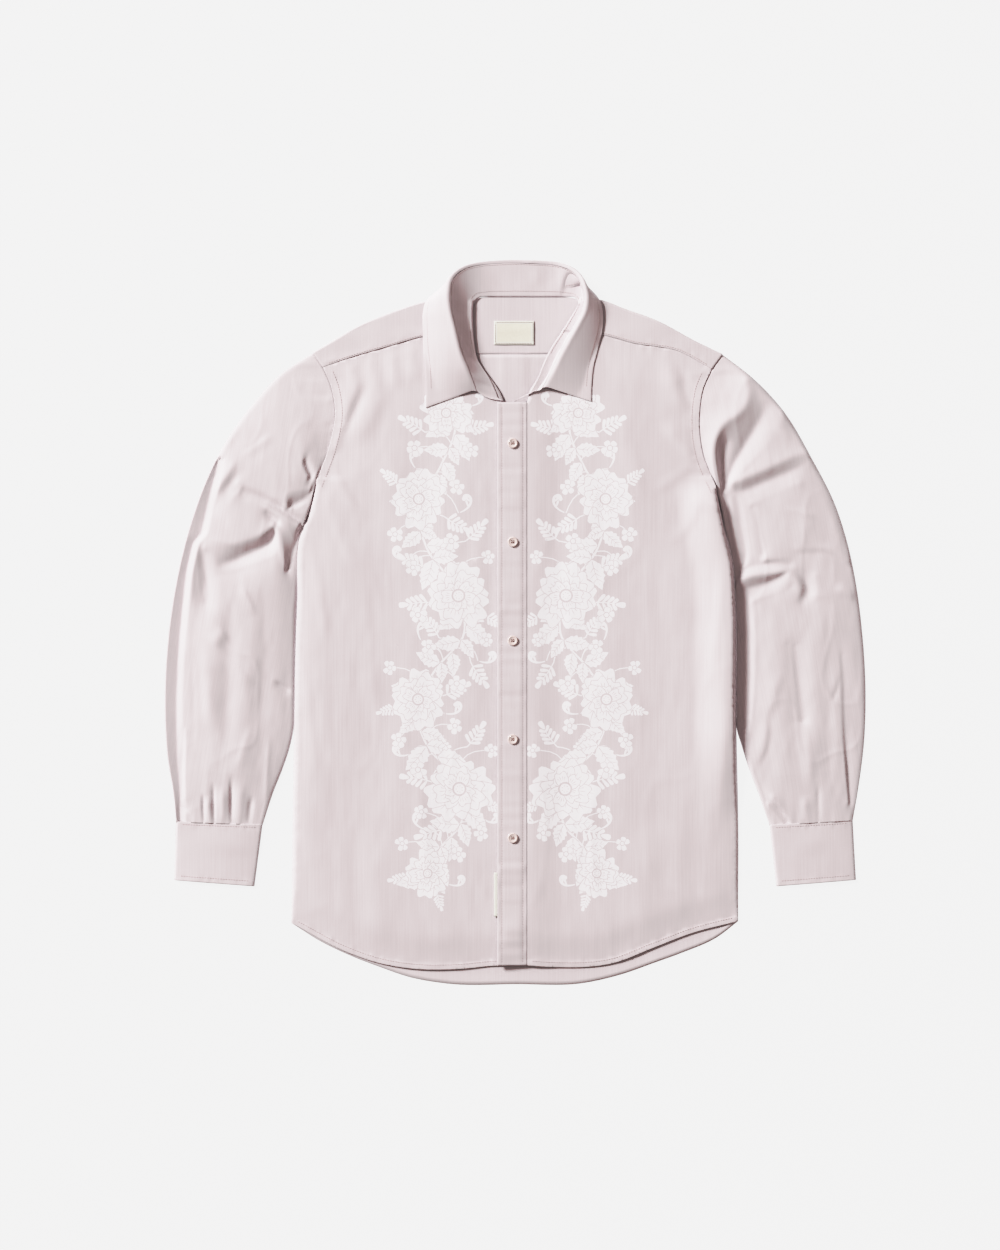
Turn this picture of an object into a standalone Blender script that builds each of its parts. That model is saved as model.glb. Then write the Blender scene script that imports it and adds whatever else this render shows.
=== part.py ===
# Long-sleeved poplin shirt, buttoned, lying flat on its back.
# Millimetres in the tables, metres in the scene. +Z up, +Y towards the collar, +X to the wearer's left.
import math

import bmesh
import bpy
import numpy as np

MM = 0.001

# Cloth and the gaps between its pieces
WALL = 1.2
SEAM_GAP = 0.3
LAY_GAP = 0.4
LAY_REACH = 9.0
FOLD_RADIUS = 1.7
FRONT_TOP = 2 * FOLD_RADIUS
FOLD_FADE_IN, FOLD_FADE_OUT = (-0.12, 0.2), (0.8, 1.12)

# Body
PLACKET_LEFT = -20.0
PLACKET_RIGHT = 13.7
LAP_RISE = 2.0
LAP_START, LAP_RAMP = 4.0, 40.0
BODY_LOFT = 2.4
BODY_TROUGH = 2.0
LOFT_MARGIN, FOLD_MARGIN = 45.0, 15.0
PLEAT_LEFT, PLEAT_RIGHT, PLEAT_RAMP = -18.0, 30.0, 12.0
PLEAT_RISE, PLEAT_LOW, PLEAT_HIGH = 0.7, 262.0, 296.0

# Collar
COLLAR_WALL = 1.2
COLLAR_FOLD = 2.4
STAND_SEAM = 6.0
COLLAR_STATIONS = 25
ROLL_STEPS = [(2.2, 0.9), (0.5, 0.45)]
LEAF_BULGE = 2.0
LEAF_DROP_LOW, LEAF_DROP_HIGH = 5.0, 18.0
LEAF_SHARES = (0.25, 0.5, 0.75, 1.0)
STAND_SHARES = (0.0, 0.33, 0.67, 1.0)

# Sleeves and cuffs
SLEEVE_SPREAD = 0.10
SLEEVE_CAP_FADE = 0.45
LOFT_POWER, LOFT_START = 0.7, (-0.05, 0.1)
SLEEVE_TROUGH = 0.7
EDGE_FADE, CAP_SEAM_FADE = 0.12, 0.08
CUFF_SEAM_FADE, CUFF_SEAM_CALM = (0.93, 1.0), 0.4
WALL_TURN = 0.6
CUFF_WALL = 1.4
CUFF_TOP, CUFF_POWER = 5.0, 0.6

# Samples that neighbours share, so that their edges run side by side
ARM_SHARES = np.concatenate([[0.0], np.linspace(0.125, 1.0, 10)])
FRONT_SEAM_AT, BACK_SEAM_AT = 1, 2
SIDE_ROWS, TOUCHING_ROWS, FREE_ROWS = 21, 12, 6
SHOULDER_COLS, NECK_COLS = 13, 7

# Buttons
BUTTON_DIAMETER = 11.5
BUTTON_THICK = 2.4
BUTTON_X, BUTTON_FIRST_Y, BUTTON_PITCH, BUTTON_COUNT = -2.6, 203.3, 112.2, 5
BUTTON_RIM, BUTTON_REACH = 0.5, 33.0
HOLE_DIAMETER, HOLE_OFFSET = 1.6, 1.5

# Outlines: x, y of each point that the curve passes
SHOULDER = {
    "wearer_right": [(-230, 307), (-172, 340), (-131, 356), (-96, 366), (-49, 366)],
    "wearer_left": [(236, 305), (205, 320), (162, 343), (124, 357), (95, 367), (74, 366)],
}
ARMHOLE = {
    "wearer_right": [(-230, 307), (-218, 288), (-208, 262), (-205, 239), (-211, 203), (-228, 156)],
    "wearer_left": [(236, 305), (226, 290), (215, 268), (210, 239), (213, 195), (231, 149)],
}
SIDE = {
    "wearer_right": [(-228, 156), (-235, 125), (-244, 102), (-248.5, 25), (-252.5, -157), (-254.8, -343)],
    "wearer_left": [(231, 149), (239, 107), (248.5, 66), (251, 31), (252, -96), (254.7, -248), (254.2, -341)],
}
YOKE_SEAM = {
    "wearer_right": [(-195, 298.7), (-145, 313.5), (-105, 325), (-48, 333)],
    "wearer_left": [(188, 307.8), (133, 318), (104, 326), (54, 332)],
}
NECKLINE = {
    "wearer_right": [(-48, 333), (-46, 312), (-41, 296), (-28, 278), (-16, 260), (-12, 250)],
    "wearer_left": [(54, 332), (41, 312), (33, 296), (26, 278), (17, 263), (13.7, 250)],
}
BACK_YOKE_SEAM = [(-130, 294), (-60, 304), (5, 305), (70, 304), (138, 294)]
BACK_NECK = [(-49, 366), (-44, 368.5), (-30, 370.5), (15, 370.5), (55, 370.5), (69, 368.5), (74, 366)]
BACK_HEM = [
    (-254.8, -343), (-222, -363.7), (-189, -379.6), (-154.5, -393), (-120, -404.7), (-76, -412.2),
    (1, -412.7), (77.5, -411.5), (123, -401), (157, -389), (190, -377), (229, -360), (254.2, -341),
]
FRONT_HEM = {
    "wearer_right": [
        (-254.8, -343), (-189, -377), (-154, -388.7), (-116, -395), (-58, -395), (-27, -392), (13.7, -391),
    ],
    "wearer_left": [(254.2, -341), (202, -354.5), (157, -371.6), (112, -388.7), (40, -393), (13.7, -391)],
}
SLEEVE_OUTER = {
    "wearer_right": [
        (-230, 307), (-268, 282), (-295, 253), (-317, 225), (-344, 180), (-370, 113), (-385, 53),
        (-396, -20), (-399.5, -99), (-397, -148), (-389, -200), (-386.5, -228),
    ],
    "wearer_left": [
        (236, 305), (272, 277), (304, 243), (339, 185), (365, 133), (378, 93), (388, 47),
        (395, -5), (399.5, -78), (398, -134), (391, -190), (384.7, -226.5),
    ],
}
# The inner edge follows the body's side, then runs free from it down to the cuff
SLEEVE_FREE = {
    "wearer_right": [(-257, -144), (-265, -168), (-275, -193), (-287.6, -231.5)],
    "wearer_left": [(258, -140), (267.5, -170), (279, -200), (290, -232)],
}
CUFF_END = {
    "wearer_right": [(-388.4, -294), (-296.9, -301)],
    "wearer_left": [(388.5, -293.6), (297.5, -301)],
}

# Folds: a soft ridge, or a trough where rise is negative, from one end to the other
FOLD_COLUMNS = ("x0", "y0", "x1", "y1", "rise", "half_width")
BODY_FOLDS = [
    (-150, 268, -182, 205, 3.0, 16),
    (-172, 276, -204, 200, -2.2, 14),
    (-118, 270, -150, 120, 2.0, 24),
    (-188, 302, -180, 258, 1.8, 8),
    (-166, 308, -158, 262, 1.8, 8),
    (-143, 314, -135, 266, 1.8, 8),
    (-120, 320, -114, 274, 1.6, 8),
    (-190, 120, -205, -210, 2.6, 30),
    (-120, 60, -135, -330, 1.8, 34),
    (-226, 60, -232, -260, 1.6, 16),
    (-60, 190, -75, -60, 1.4, 30),
    (-165, -250, -150, -375, 1.6, 18),
    (-90, -280, -84, -385, 1.2, 18),
    (186, 296, 204, 246, 2.4, 12),
    (170, 222, 206, 182, 2.2, 13),
    (120, 250, 150, 90, 1.8, 28),
    (196, 110, 208, -240, 2.2, 30),
    (110, 20, 126, -300, 1.6, 34),
    (226, 30, 232, -250, 1.4, 16),
    (70, 160, 78, -90, 1.2, 30),
    (150, -240, 140, -360, 1.4, 18),
]
SLEEVE_LOFT = [(0.0, 3.0), (0.12, 6.5), (0.35, 8.0), (0.6, 6.0), (0.85, 5.0), (1.0, 2.4)]
SLEEVE_FOLDS = {
    "wearer_right": [
        (-336, 62, -262, 112, 4.0, 15),
        (-330, 50, -268, 84, -3.4, 12),
        (-296, 30, -256, 64, 2.6, 12),
        (-318, 150, -236, 132, 2.6, 14),
        (-300, 190, -244, 196, 2.2, 14),
        (-344, 128, -380, 10, 2.6, 13),
        (-372, -60, -378, -210, 2.2, 10),
        (-300, -20, -312, -190, 1.8, 18),
        (-338, 20, -342, -180, 1.6, 18),
        (-356, -190, -355, -229, 1.8, 7),
        (-334, -196, -333, -229, 1.8, 7),
        (-312, -190, -316, -229, 1.4, 7),
    ],
    "wearer_left": [
        (232, 152, 328, 188, 4.0, 15),
        (236, 184, 288, 240, -3.2, 16),
        (250, 52, 312, 58, 3.4, 13),
        (252, 34, 300, 26, -2.4, 12),
        (322, 46, 352, 66, 2.6, 11),
        (356, 80, 382, 46, 2.2, 11),
        (268, 110, 272, -60, -1.8, 14),
        (300, -10, 306, -180, 2.0, 18),
        (340, 10, 338, -190, 1.8, 18),
        (374, -90, 380, -214, 2.4, 9),
        (330, -196, 331, -229, 1.4, 7),
        (308, -196, 310, -229, 1.6, 7),
    ],
}

# Collar stations, from the wearer's right front end round the back to the left front end:
# base of the stand, crest of the fold and edge of the leaf
COLLAR_COLUMNS = ("bx", "by", "bz", "fx", "fy", "fz", "ex", "ey", "ez")
COLLAR = [
    (-19, 255, 4.4, -48, 263, 9, -101.5, 244, 4.4),
    (-23, 265, 4.4, -52, 275, 13, -101.5, 270, 4.4),
    (-30, 279, 4.4, -57, 289, 16, -102.5, 292, 4.5),
    (-42, 298, 4.4, -64, 308, 21, -104.5, 316, 4.8),
    (-46, 316, 4.4, -70, 333, 19, -105, 339, 5.0),
    (-48, 338, 4.5, -75.5, 355, 17, -104.5, 353, 5.2),
    (-47.5, 361, 4.8, -77, 374, 16, -99, 367.5, 5.4),
    (-41, 369.5, 4.4, -74, 391, 12, -78, 382, 1.8),
    (-34, 370.5, 2.6, -61, 403, 8, -53, 380, 0.7),
    (-20, 370.5, 2.2, -40, 409.5, 4.2, -34, 376, 0.62),
    (1, 370.5, 2.2, -8, 412, 3.2, -6, 374, 0.61),
    (24, 370.5, 2.2, 26, 411.5, 3.1, 26, 374, 0.61),
    (43, 370.5, 2.2, 50, 409, 4.2, 48, 376, 0.62),
    (59, 370.5, 2.6, 68, 401, 10, 63, 379, 0.7),
    (68, 370, 4.4, 78, 387, 20, 79, 383, 1.8),
    (72, 361, 4.8, 81.5, 370, 27, 95, 367.5, 5.4),
    (63, 345, 4.5, 80, 354, 30, 100, 350, 5.2),
    (53, 329, 4.4, 72, 337, 30, 99, 331, 4.8),
    (42, 312, 4.4, 62, 319, 28, 94, 310, 4.5),
    (33, 294, 4.4, 52, 300, 25, 89, 290, 4.4),
    (26, 277, 4.4, 44, 283, 21, 87, 270, 4.4),
    (18, 262, 4.4, 36, 267, 15, 86.5, 251, 4.4),
]
# The stand runs on past the leaf at both front ends: base and top of each end
STAND_ENDS = {
    "wearer_right": [(-13, 252, 4.4, -34, 252, 6.4)],
    "wearer_left": [(8, 256, 6.4, 22, 262, 9.4), (-3, 250, 6.4, 8, 255, 7.4)],
}

# Neck label and the small tab in the placket's edge
LABEL_LEFT, LABEL_RIGHT, LABEL_LOW, LABEL_HIGH = -23.9, 21.7, 316.0, 343.0
LABEL_WALL = 1.0
TAB_WIDTH, TAB_LOW, TAB_HIGH = 4.0, -335.0, -285.0


def smooth(rows, shares):
    # Points at shares 0 to 1 of the length of a smooth curve through the rows
    points = np.array(rows, float)
    steps = np.linalg.norm(np.diff(points, axis=0), axis=1)
    knots = np.concatenate([[0.0], np.cumsum(steps)])
    slopes = np.gradient(points, knots, axis=0)
    place = np.clip(np.asarray(shares, float), 0, 1) * knots[-1]
    i = np.clip(np.searchsorted(knots, place, side="right") - 1, 0, len(steps) - 1)
    h = steps[i][:, None]
    f = (place - knots[i])[:, None] / h
    return (
        (2 * f**3 - 3 * f**2 + 1) * points[i]
        + (f**3 - 2 * f**2 + f) * h * slopes[i]
        + (3 * f**2 - 2 * f**3) * points[i + 1]
        + (f**3 - f**2) * h * slopes[i + 1]
    )


def even(rows, count):
    return smooth(rows, np.linspace(0, 1, count))


def ease(value, low, high):
    f = np.clip((value - low) / (high - low), 0, 1)
    return f * f * (3 - 2 * f)


def patch(top, bottom, left, right):
    # Grid of points between four edge curves that meet at the corners
    s = np.linspace(0, 1, len(left))[:, None, None]
    t = np.linspace(0, 1, len(top))[None, :, None]
    across = (1 - t) * left[:, None] + t * right[:, None]
    down = (1 - s) * top[None] + s * bottom[None]
    corners = (
        (1 - s) * ((1 - t) * top[0] + t * top[-1])
        + s * ((1 - t) * bottom[0] + t * bottom[-1])
    )
    return across + down - corners


def fold_height(grid, folds):
    # Sum of the soft ridges and troughs over each point of a grid
    total = np.zeros(grid.shape[:-1])
    for row in folds:
        fold = dict(zip(FOLD_COLUMNS, row))
        start = np.array([fold["x0"], fold["y0"]])
        run = np.array([fold["x1"], fold["y1"]]) - start
        length = np.linalg.norm(run)
        offset = grid[..., :2] - start
        along = offset @ run / length**2
        aside = (offset[..., 0] * run[1] - offset[..., 1] * run[0]) / length
        ends = ease(along, *FOLD_FADE_IN) * (1 - ease(along, *FOLD_FADE_OUT))
        total += fold["rise"] * ends * np.exp(-((aside / fold["half_width"]) ** 2))
    return total


def drape(grid, edges):
    # Height of a front above its seams: a shallow loft and the folds, both nothing at the edges
    away = np.full(grid.shape[:-1], 1e9)
    for edge in edges:
        gap = np.linalg.norm(grid[:, :, None, :2] - edge[None, None, :, :2], axis=-1).min(axis=-1)
        away = np.minimum(away, gap)
    share = ease(away, 0, LOFT_MARGIN)
    folds = np.maximum(fold_height(grid, BODY_FOLDS), -BODY_TROUGH * share)
    return share * BODY_LOFT + ease(away, 0, FOLD_MARGIN) * folds


def lift(grid, height):
    return np.concatenate([grid[..., :2], np.broadcast_to(height, grid.shape[:-1])[..., None]], axis=-1)


def refined(grid, steps=4):
    # The same surface with points in between, for finding what lies under a piece
    for axis in (0, 1):
        count = grid.shape[axis]
        place = np.linspace(0, count - 1, (count - 1) * steps + 1)
        low = np.minimum(place.astype(int), count - 2)
        share = np.expand_dims(place - low, (1 - axis, 2))
        grid = grid.take(low, axis) * (1 - share) + grid.take(low + 1, axis) * share
    return grid.reshape(-1, 3)


def rest_on(points, below, wall):
    # Raise each point so that its wall clears the cloth below it
    flat = points.reshape(-1, 3).copy()
    for point in flat:
        near = np.hypot(below[:, 0] - point[0], below[:, 1] - point[1]) < LAY_REACH
        if near.any():
            point[2] = max(point[2], below[near, 2].max() + LAY_GAP + wall / 2)
    return flat.reshape(points.shape)


def material(name, colour, roughness):
    found = bpy.data.materials.get(name)
    if found:
        return found
    made = bpy.data.materials.new(name)
    made.use_nodes = True
    shader = made.node_tree.nodes["Principled BSDF"]
    shader.inputs["Base Color"].default_value = (*colour, 1.0)
    shader.inputs["Roughness"].default_value = roughness
    shader.inputs["Metallic"].default_value = 0.0
    return made


def poplin():
    return material("poplin", (0.72, 0.655, 0.65), 0.85)


def label_weave():
    return material("label_weave", (0.80, 0.80, 0.70), 0.8)


def pearl():
    return material("pearl", (0.86, 0.79, 0.77), 0.3)


def add_object(name, bm, finish):
    bmesh.ops.recalc_face_normals(bm, faces=bm.faces[:])
    mesh = bpy.data.meshes.new(name)
    bm.to_mesh(mesh)
    bm.free()
    mesh.materials.append(finish)
    made = bpy.data.objects.new(name, mesh)
    shirt.objects.link(made)
    mesh.shade_smooth()
    mesh.set_sharp_from_angle(angle=math.radians(40))
    return made


def grid_faces(bm, points):
    rows = [[bm.verts.new(p * MM) for p in row] for row in points]
    faces = []
    for upper, lower in zip(rows, rows[1:]):
        for i in range(len(upper) - 1):
            faces.append(bm.faces.new((upper[i], upper[i + 1], lower[i + 1], lower[i])))
    return rows, faces


def panel(name, points, finish, wall=WALL):
    # A grid of points on the cloth's upper side, extruded down by the wall
    bm = bmesh.new()
    grid_faces(bm, points)
    sunk = bmesh.ops.extrude_face_region(bm, geom=bm.faces[:])
    corners = [v for v in sunk["geom"] if isinstance(v, bmesh.types.BMVert)]
    bmesh.ops.translate(bm, verts=corners, vec=(0, 0, -wall * MM))
    return add_object(name, bm, finish)


def sheet(name, points, finish, wall, side):
    # An open surface with an even wall on one side of it, or on both where side is 0
    bm = bmesh.new()
    grid_faces(bm, points)
    made = add_object(name, bm, finish)
    solid = made.modifiers.new("wall", "SOLIDIFY")
    solid.thickness = wall * MM
    solid.offset = side
    solid.use_even_offset = True
    return made


def tube(name, outer, inner, finish):
    # A wall between outer and inner rings, open at both ends
    bm = bmesh.new()
    count = len(outer[0])
    skins = []
    for rings in (outer, inner):
        skins.append([[bm.verts.new(p * MM) for p in ring] for ring in rings])
    for skin in skins:
        for a, b in zip(skin, skin[1:]):
            for i in range(count):
                j = (i + 1) % count
                bm.faces.new((a[i], a[j], b[j], b[i]))
    for end in (0, -1):
        a, b = skins[0][end], skins[1][end]
        for i in range(count):
            j = (i + 1) % count
            bm.faces.new((a[i], a[j], b[j], b[i]))
    return add_object(name, bm, finish)


def armhole(side):
    return smooth(ARMHOLE[side], ARM_SHARES)


def side_edge(side):
    return even(SIDE[side], SIDE_ROWS)


def body_edge(side, seam_at):
    # The outer edge of a front or of the back: armhole below its yoke seam, then the side
    return np.vstack([armhole(side)[seam_at:], side_edge(side)[1:]])


def back_yoke_seam(cols):
    ends = [armhole(side)[BACK_SEAM_AT] for side in ("wearer_right", "wearer_left")]
    return even([ends[0], *BACK_YOKE_SEAM, ends[1]], cols)


def build_back():
    # The cloth below the yoke seam, down to the longer curved hem
    cols = 13
    left = body_edge("wearer_right", BACK_SEAM_AT)
    right = body_edge("wearer_left", BACK_SEAM_AT)
    top = back_yoke_seam(cols)
    for edge in (left[0], right[0], top[0], top[-1]):
        edge[1] -= SEAM_GAP
    top[1:-1, 1] -= SEAM_GAP
    grid = patch(top, even(BACK_HEM, cols), left, right)
    pleat = ease(grid[..., 0], PLEAT_LEFT - PLEAT_RAMP, PLEAT_LEFT)
    pleat = pleat * (1 - ease(grid[..., 0], PLEAT_RIGHT, PLEAT_RIGHT + PLEAT_RAMP))
    pleat = pleat * ease(grid[..., 1], PLEAT_LOW, PLEAT_HIGH)
    panel("back_panel", lift(grid, WALL + PLEAT_RISE * pleat), poplin())


def build_yoke():
    # One piece: flat across the back, over both shoulder folds and down to the front yoke seams
    front_rows, turn_steps = 4, 4
    left = even(SHOULDER["wearer_right"], SHOULDER_COLS)
    neck = even(BACK_NECK, NECK_COLS)
    right = even(SHOULDER["wearer_left"], SHOULDER_COLS)[::-1]
    tops = np.vstack([left, neck[1:-1], right])
    crests = tops.copy()
    crests[:SHOULDER_COLS, 1] -= FOLD_RADIUS
    crests[-SHOULDER_COLS:, 1] -= FOLD_RADIUS
    arms = {"wearer_right": armhole("wearer_right"), "wearer_left": armhole("wearer_left")}
    for side, end in (("wearer_right", 0), ("wearer_left", -1)):
        down = arms[side][1] - arms[side][0]
        crests[end] = arms[side][0] + down * FOLD_RADIUS / abs(down[1])
    edges = [np.vstack([crests[end], arms[side][1:BACK_SEAM_AT + 1]])
             for side, end in (("wearer_right", 0), ("wearer_left", -1))]
    flat = lift(patch(crests, back_yoke_seam(len(tops)), *edges), 0.0)
    flaps = []
    bm = bmesh.new()
    rows = [[bm.verts.new(p * MM) for p in row] for row in flat[::-1]]
    for a, b in zip(rows, rows[1:]):
        for i in range(len(a) - 1):
            bm.faces.new((a[i], b[i], b[i + 1], a[i + 1]))
    for side, start in (("wearer_right", 0), ("wearer_left", len(tops) - SHOULDER_COLS)):
        stretch = slice(start, start + SHOULDER_COLS)
        base, crest = tops[stretch], crests[stretch]
        seam = front_yoke_seam(side)
        if side == "wearer_left":
            seam = seam[::-1]
        ends = [even([crest[k], seam[k]], front_rows) for k in (0, -1)]
        flap = lift(patch(crest, seam, *ends), FRONT_TOP)
        flaps.append(flap)
        turn = []
        for k in range(1, turn_steps):
            angle = math.pi * k / turn_steps
            turn.append(lift(crest + (base - crest) * math.sin(angle), FOLD_RADIUS * (1 - math.cos(angle))))
        previous = rows[-1][stretch]
        for ring in turn + list(flap):
            current = [bm.verts.new(p * MM) for p in ring]
            for i in range(SHOULDER_COLS - 1):
                bm.faces.new((previous[i], current[i], current[i + 1], previous[i + 1]))
            previous = current
    made = add_object("yoke", bm, poplin())
    solid = made.modifiers.new("wall", "SOLIDIFY")
    solid.thickness = WALL * MM
    solid.offset = -1
    solid.use_even_offset = True
    return flaps


def front_yoke_seam(side):
    # From the armhole to the neckline
    return even([armhole(side)[FRONT_SEAM_AT], *YOKE_SEAM[side]], SHOULDER_COLS)


def front_grid(side):
    # Points of one front, from the yoke seam and neckline to the hem, and from side to centre
    seam = front_yoke_seam(side)
    neck = even(NECKLINE[side], NECK_COLS)
    top = np.vstack([seam, neck[1:]])
    top[:SHOULDER_COLS, 1] -= SEAM_GAP
    outer = body_edge(side, FRONT_SEAM_AT)
    outer[0] = top[0]
    hem = even(FRONT_HEM[side], len(top))
    top[-1, 0] = PLACKET_RIGHT
    centre = np.column_stack([
        np.full(len(outer), PLACKET_RIGHT),
        np.linspace(top[-1, 1], hem[-1, 1], len(outer)),
    ])
    return patch(top, hem, outer, centre)


def build_fronts():
    right = front_grid("wearer_right")
    left = front_grid("wearer_left")
    right_edges = [right[:, 0], right[0], right[-1]]
    right_height = drape(right, right_edges)
    panel("front_right", lift(right, FRONT_TOP + right_height), poplin())

    # The other front runs on over it, as far as the placket's edge
    strip_xs = np.linspace(PLACKET_RIGHT, PLACKET_LEFT, 4)[1:]
    strip = np.stack([np.stack([np.full(len(left), x), left[:, -1, 1]], axis=1) for x in strip_xs], axis=1)
    whole = np.concatenate([left, strip], axis=1)
    left_edges = [left[:, 0], left[0], left[-1]]
    blend = 1 - ease(whole[..., 0], PLACKET_RIGHT + LAP_START, PLACKET_RIGHT + LAP_RAMP)
    rise = LAP_RISE * blend
    height = FRONT_TOP + drape(whole, left_edges) + rise
    # Both fronts share the drape of the right one across the lap
    lap_rows = drape(right[:, -1:], right_edges)[:, 0]
    lap = np.interp(-whole[..., 1], -right[:, -1, 1], lap_rows)
    height = height + blend * np.maximum(lap - (height - FRONT_TOP - rise), 0)
    front = lift(whole, height)
    panel("front_left", front, poplin())
    placket = front[:, -4:].copy()
    placket[..., 2] += SEAM_GAP + WALL
    panel("placket", placket, poplin())
    return [lift(right, FRONT_TOP + right_height), front, placket]


def sleeve_plan(side):
    # Rows of points from the armhole seam to the cuff seam, each from outer edge to inner edge
    beside = side_edge(side)[:TOUCHING_ROWS]
    free = even([beside[-1], *SLEEVE_FREE[side]], FREE_ROWS)[1:]
    inner = np.vstack([beside, free])
    along = np.linspace(0, 1, len(inner))
    outer = smooth(SLEEVE_OUTER[side], along + SLEEVE_SPREAD * np.sin(np.pi * along))
    cap = armhole(side)
    across = ARM_SHARES[:, None]
    curve = cap - (1 - across) * cap[0] - across * cap[-1]
    grid = (1 - across) * outer[:, None] + across * inner[:, None]
    grid = grid + (1 - ease(along, 0.0, SLEEVE_CAP_FADE))[:, None, None] * curve[None]
    outwards = -1 if side == "wearer_right" else 1
    clear = SEAM_GAP * (2 - (along == 0))
    grid[..., 0] += outwards * clear[:, None]
    return grid, along


def ring_points(grid, tops, chord, depth):
    # One ring: over the top from outer to inner edge and back along the flat underside
    turn = FOLD_RADIUS + depth * WALL_TURN
    shares = ARM_SHARES.copy()
    ends = [depth / chord, turn / chord]
    stops = np.concatenate([[ends[0], ends[1]], shares[1:-1], [1 - ends[1], 1 - ends[0]]])
    plan = np.stack([np.interp(stops, shares, grid[:, k]) for k in range(2)], axis=1)
    top = np.interp(stops, shares, tops) - depth
    middle = FOLD_RADIUS
    top[0] = top[-1] = middle
    upper = np.column_stack([plan, top])
    lower = np.column_stack([plan, np.full(len(stops), depth)])[1:-1][::-1]
    return np.vstack([upper, lower])


def build_sleeve(side):
    name = "sleeve_right" if side == "wearer_right" else "sleeve_left"
    grid, along = sleeve_plan(side)
    arch = np.sin(np.pi * ARM_SHARES)[None] ** LOFT_POWER
    loft = np.interp(along, *np.array(SLEEVE_LOFT).T)[:, None] * arch
    edge = ease(np.minimum(ARM_SHARES, 1 - ARM_SHARES), 0, EDGE_FADE)[None]
    calm = 1 - CUFF_SEAM_CALM * ease(along, *CUFF_SEAM_FADE)
    seams = (ease(along, 0.0, CAP_SEAM_FADE) * calm)[:, None]
    folds = np.maximum(fold_height(grid, SLEEVE_FOLDS[side]), -SLEEVE_TROUGH * loft)
    tops = FRONT_TOP + loft * ease(along, *LOFT_START)[:, None] + folds * edge * seams
    tops = np.maximum(tops, FRONT_TOP)
    outer, inner = [], []
    for row, top in zip(grid, tops):
        chord = np.linalg.norm(np.diff(row, axis=0), axis=1).sum()
        outer.append(ring_points(row, top, chord, 0.0))
        inner.append(ring_points(row, top, chord, WALL))
    tube(name, outer, inner, poplin())
    return grid[-1]


def build_cuff(side, seam):
    name = "cuff_right" if side == "wearer_right" else "cuff_left"
    rows = 3
    end = np.array(CUFF_END[side], float)
    end_row = (1 - ARM_SHARES)[:, None] * end[0] + ARM_SHARES[:, None] * end[1]
    start = seam.copy()
    start[:, 1] -= SEAM_GAP
    arch = FRONT_TOP + (CUFF_TOP - FRONT_TOP) * np.sin(np.pi * ARM_SHARES) ** CUFF_POWER
    outer, inner = [], []
    for f in np.linspace(0, 1, rows):
        row = (1 - f) * start + f * end_row
        chord = np.linalg.norm(np.diff(row, axis=0), axis=1).sum()
        outer.append(ring_points(row, arch, chord, 0.0))
        inner.append(ring_points(row, arch, chord, CUFF_WALL))
    tube(name, outer, inner, poplin())


def unit(vector):
    return vector / np.linalg.norm(vector, axis=-1, keepdims=True)


def collar_stations(count):
    # Base, crest and edge points at even stations round the collar
    table = np.array(COLLAR, float)
    shares = np.linspace(0, 1, count)
    knots = np.linspace(0, 1, len(table))
    slopes = np.gradient(table, knots, axis=0)
    i = np.clip(np.searchsorted(knots, shares, side="right") - 1, 0, len(table) - 2)
    h = (knots[i + 1] - knots[i])[:, None]
    f = (shares - knots[i])[:, None] / h
    values = (
        (2 * f**3 - 3 * f**2 + 1) * table[i] + (f**3 - 2 * f**2 + f) * h * slopes[i]
        + (3 * f**2 - 2 * f**3) * table[i + 1] + (f**3 - f**2) * h * slopes[i + 1]
    )
    starts = [COLLAR_COLUMNS.index(column) for column in ("bx", "fx", "ex")]
    return [values[:, start:start + 3] for start in starts]


def build_collar(below):
    # The stand rises from the neckline, and the leaf turns over its top and falls outside it
    base, crest, edge = collar_stations(COLLAR_STATIONS)
    into_stand = unit(base - crest)
    into_leaf = unit(edge - crest)
    middle = unit(into_stand + into_leaf)
    turn = into_leaf - into_stand
    turn = unit(turn - (turn * middle).sum(axis=1, keepdims=True) * middle)
    into_stand = unit(base + turn * COLLAR_FOLD - crest)
    into_leaf = unit(edge - turn * COLLAR_FOLD - crest)
    seam = crest + into_stand * STAND_SEAM - turn * COLLAR_FOLD
    near = crest + into_leaf * STAND_SEAM + turn * COLLAR_FOLD
    inside = [crest + into_stand * reach - turn * COLLAR_FOLD * out for reach, out in ROLL_STEPS]
    outside = [crest + into_leaf * reach + turn * COLLAR_FOLD * out for reach, out in ROLL_STEPS]
    leaf = [seam, *inside, *outside[::-1], near]
    drop = ease(crest[:, 2:3] - edge[:, 2:3], LEAF_DROP_LOW, LEAF_DROP_HIGH)
    for f in LEAF_SHARES:
        row = near + (edge - near) * f
        row[:, 2:3] += LEAF_BULGE * drop * math.sin(math.pi * f)
        leaf.append(rest_on(row, below, COLLAR_WALL))
    sheet("collar_leaf", np.array(leaf), poplin(), COLLAR_WALL, 0)

    stand_top = seam + into_stand * (SEAM_GAP * 2)
    ends = {side: np.array(rows, float) for side, rows in STAND_ENDS.items()}
    right, left = ends["wearer_right"], ends["wearer_left"]
    bases = np.vstack([right[::-1, :3], base, left[:, :3]])
    heads = np.vstack([right[::-1, 3:], stand_top, left[:, 3:]])
    stand = [rest_on(bases + (heads - bases) * f, below, COLLAR_WALL) for f in STAND_SHARES]
    sheet("collar_stand", np.array(stand), poplin(), COLLAR_WALL, 0)


def build_label():
    # A bare woven label on the inside of the yoke
    xs = np.linspace(LABEL_LEFT, LABEL_RIGHT, 4)
    ys = np.linspace(LABEL_HIGH, LABEL_LOW, 3)
    grid = np.stack(np.meshgrid(xs, ys), axis=-1)
    panel("neck_label", lift(grid, WALL + SEAM_GAP + LABEL_WALL), label_weave(), LABEL_WALL)


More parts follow.
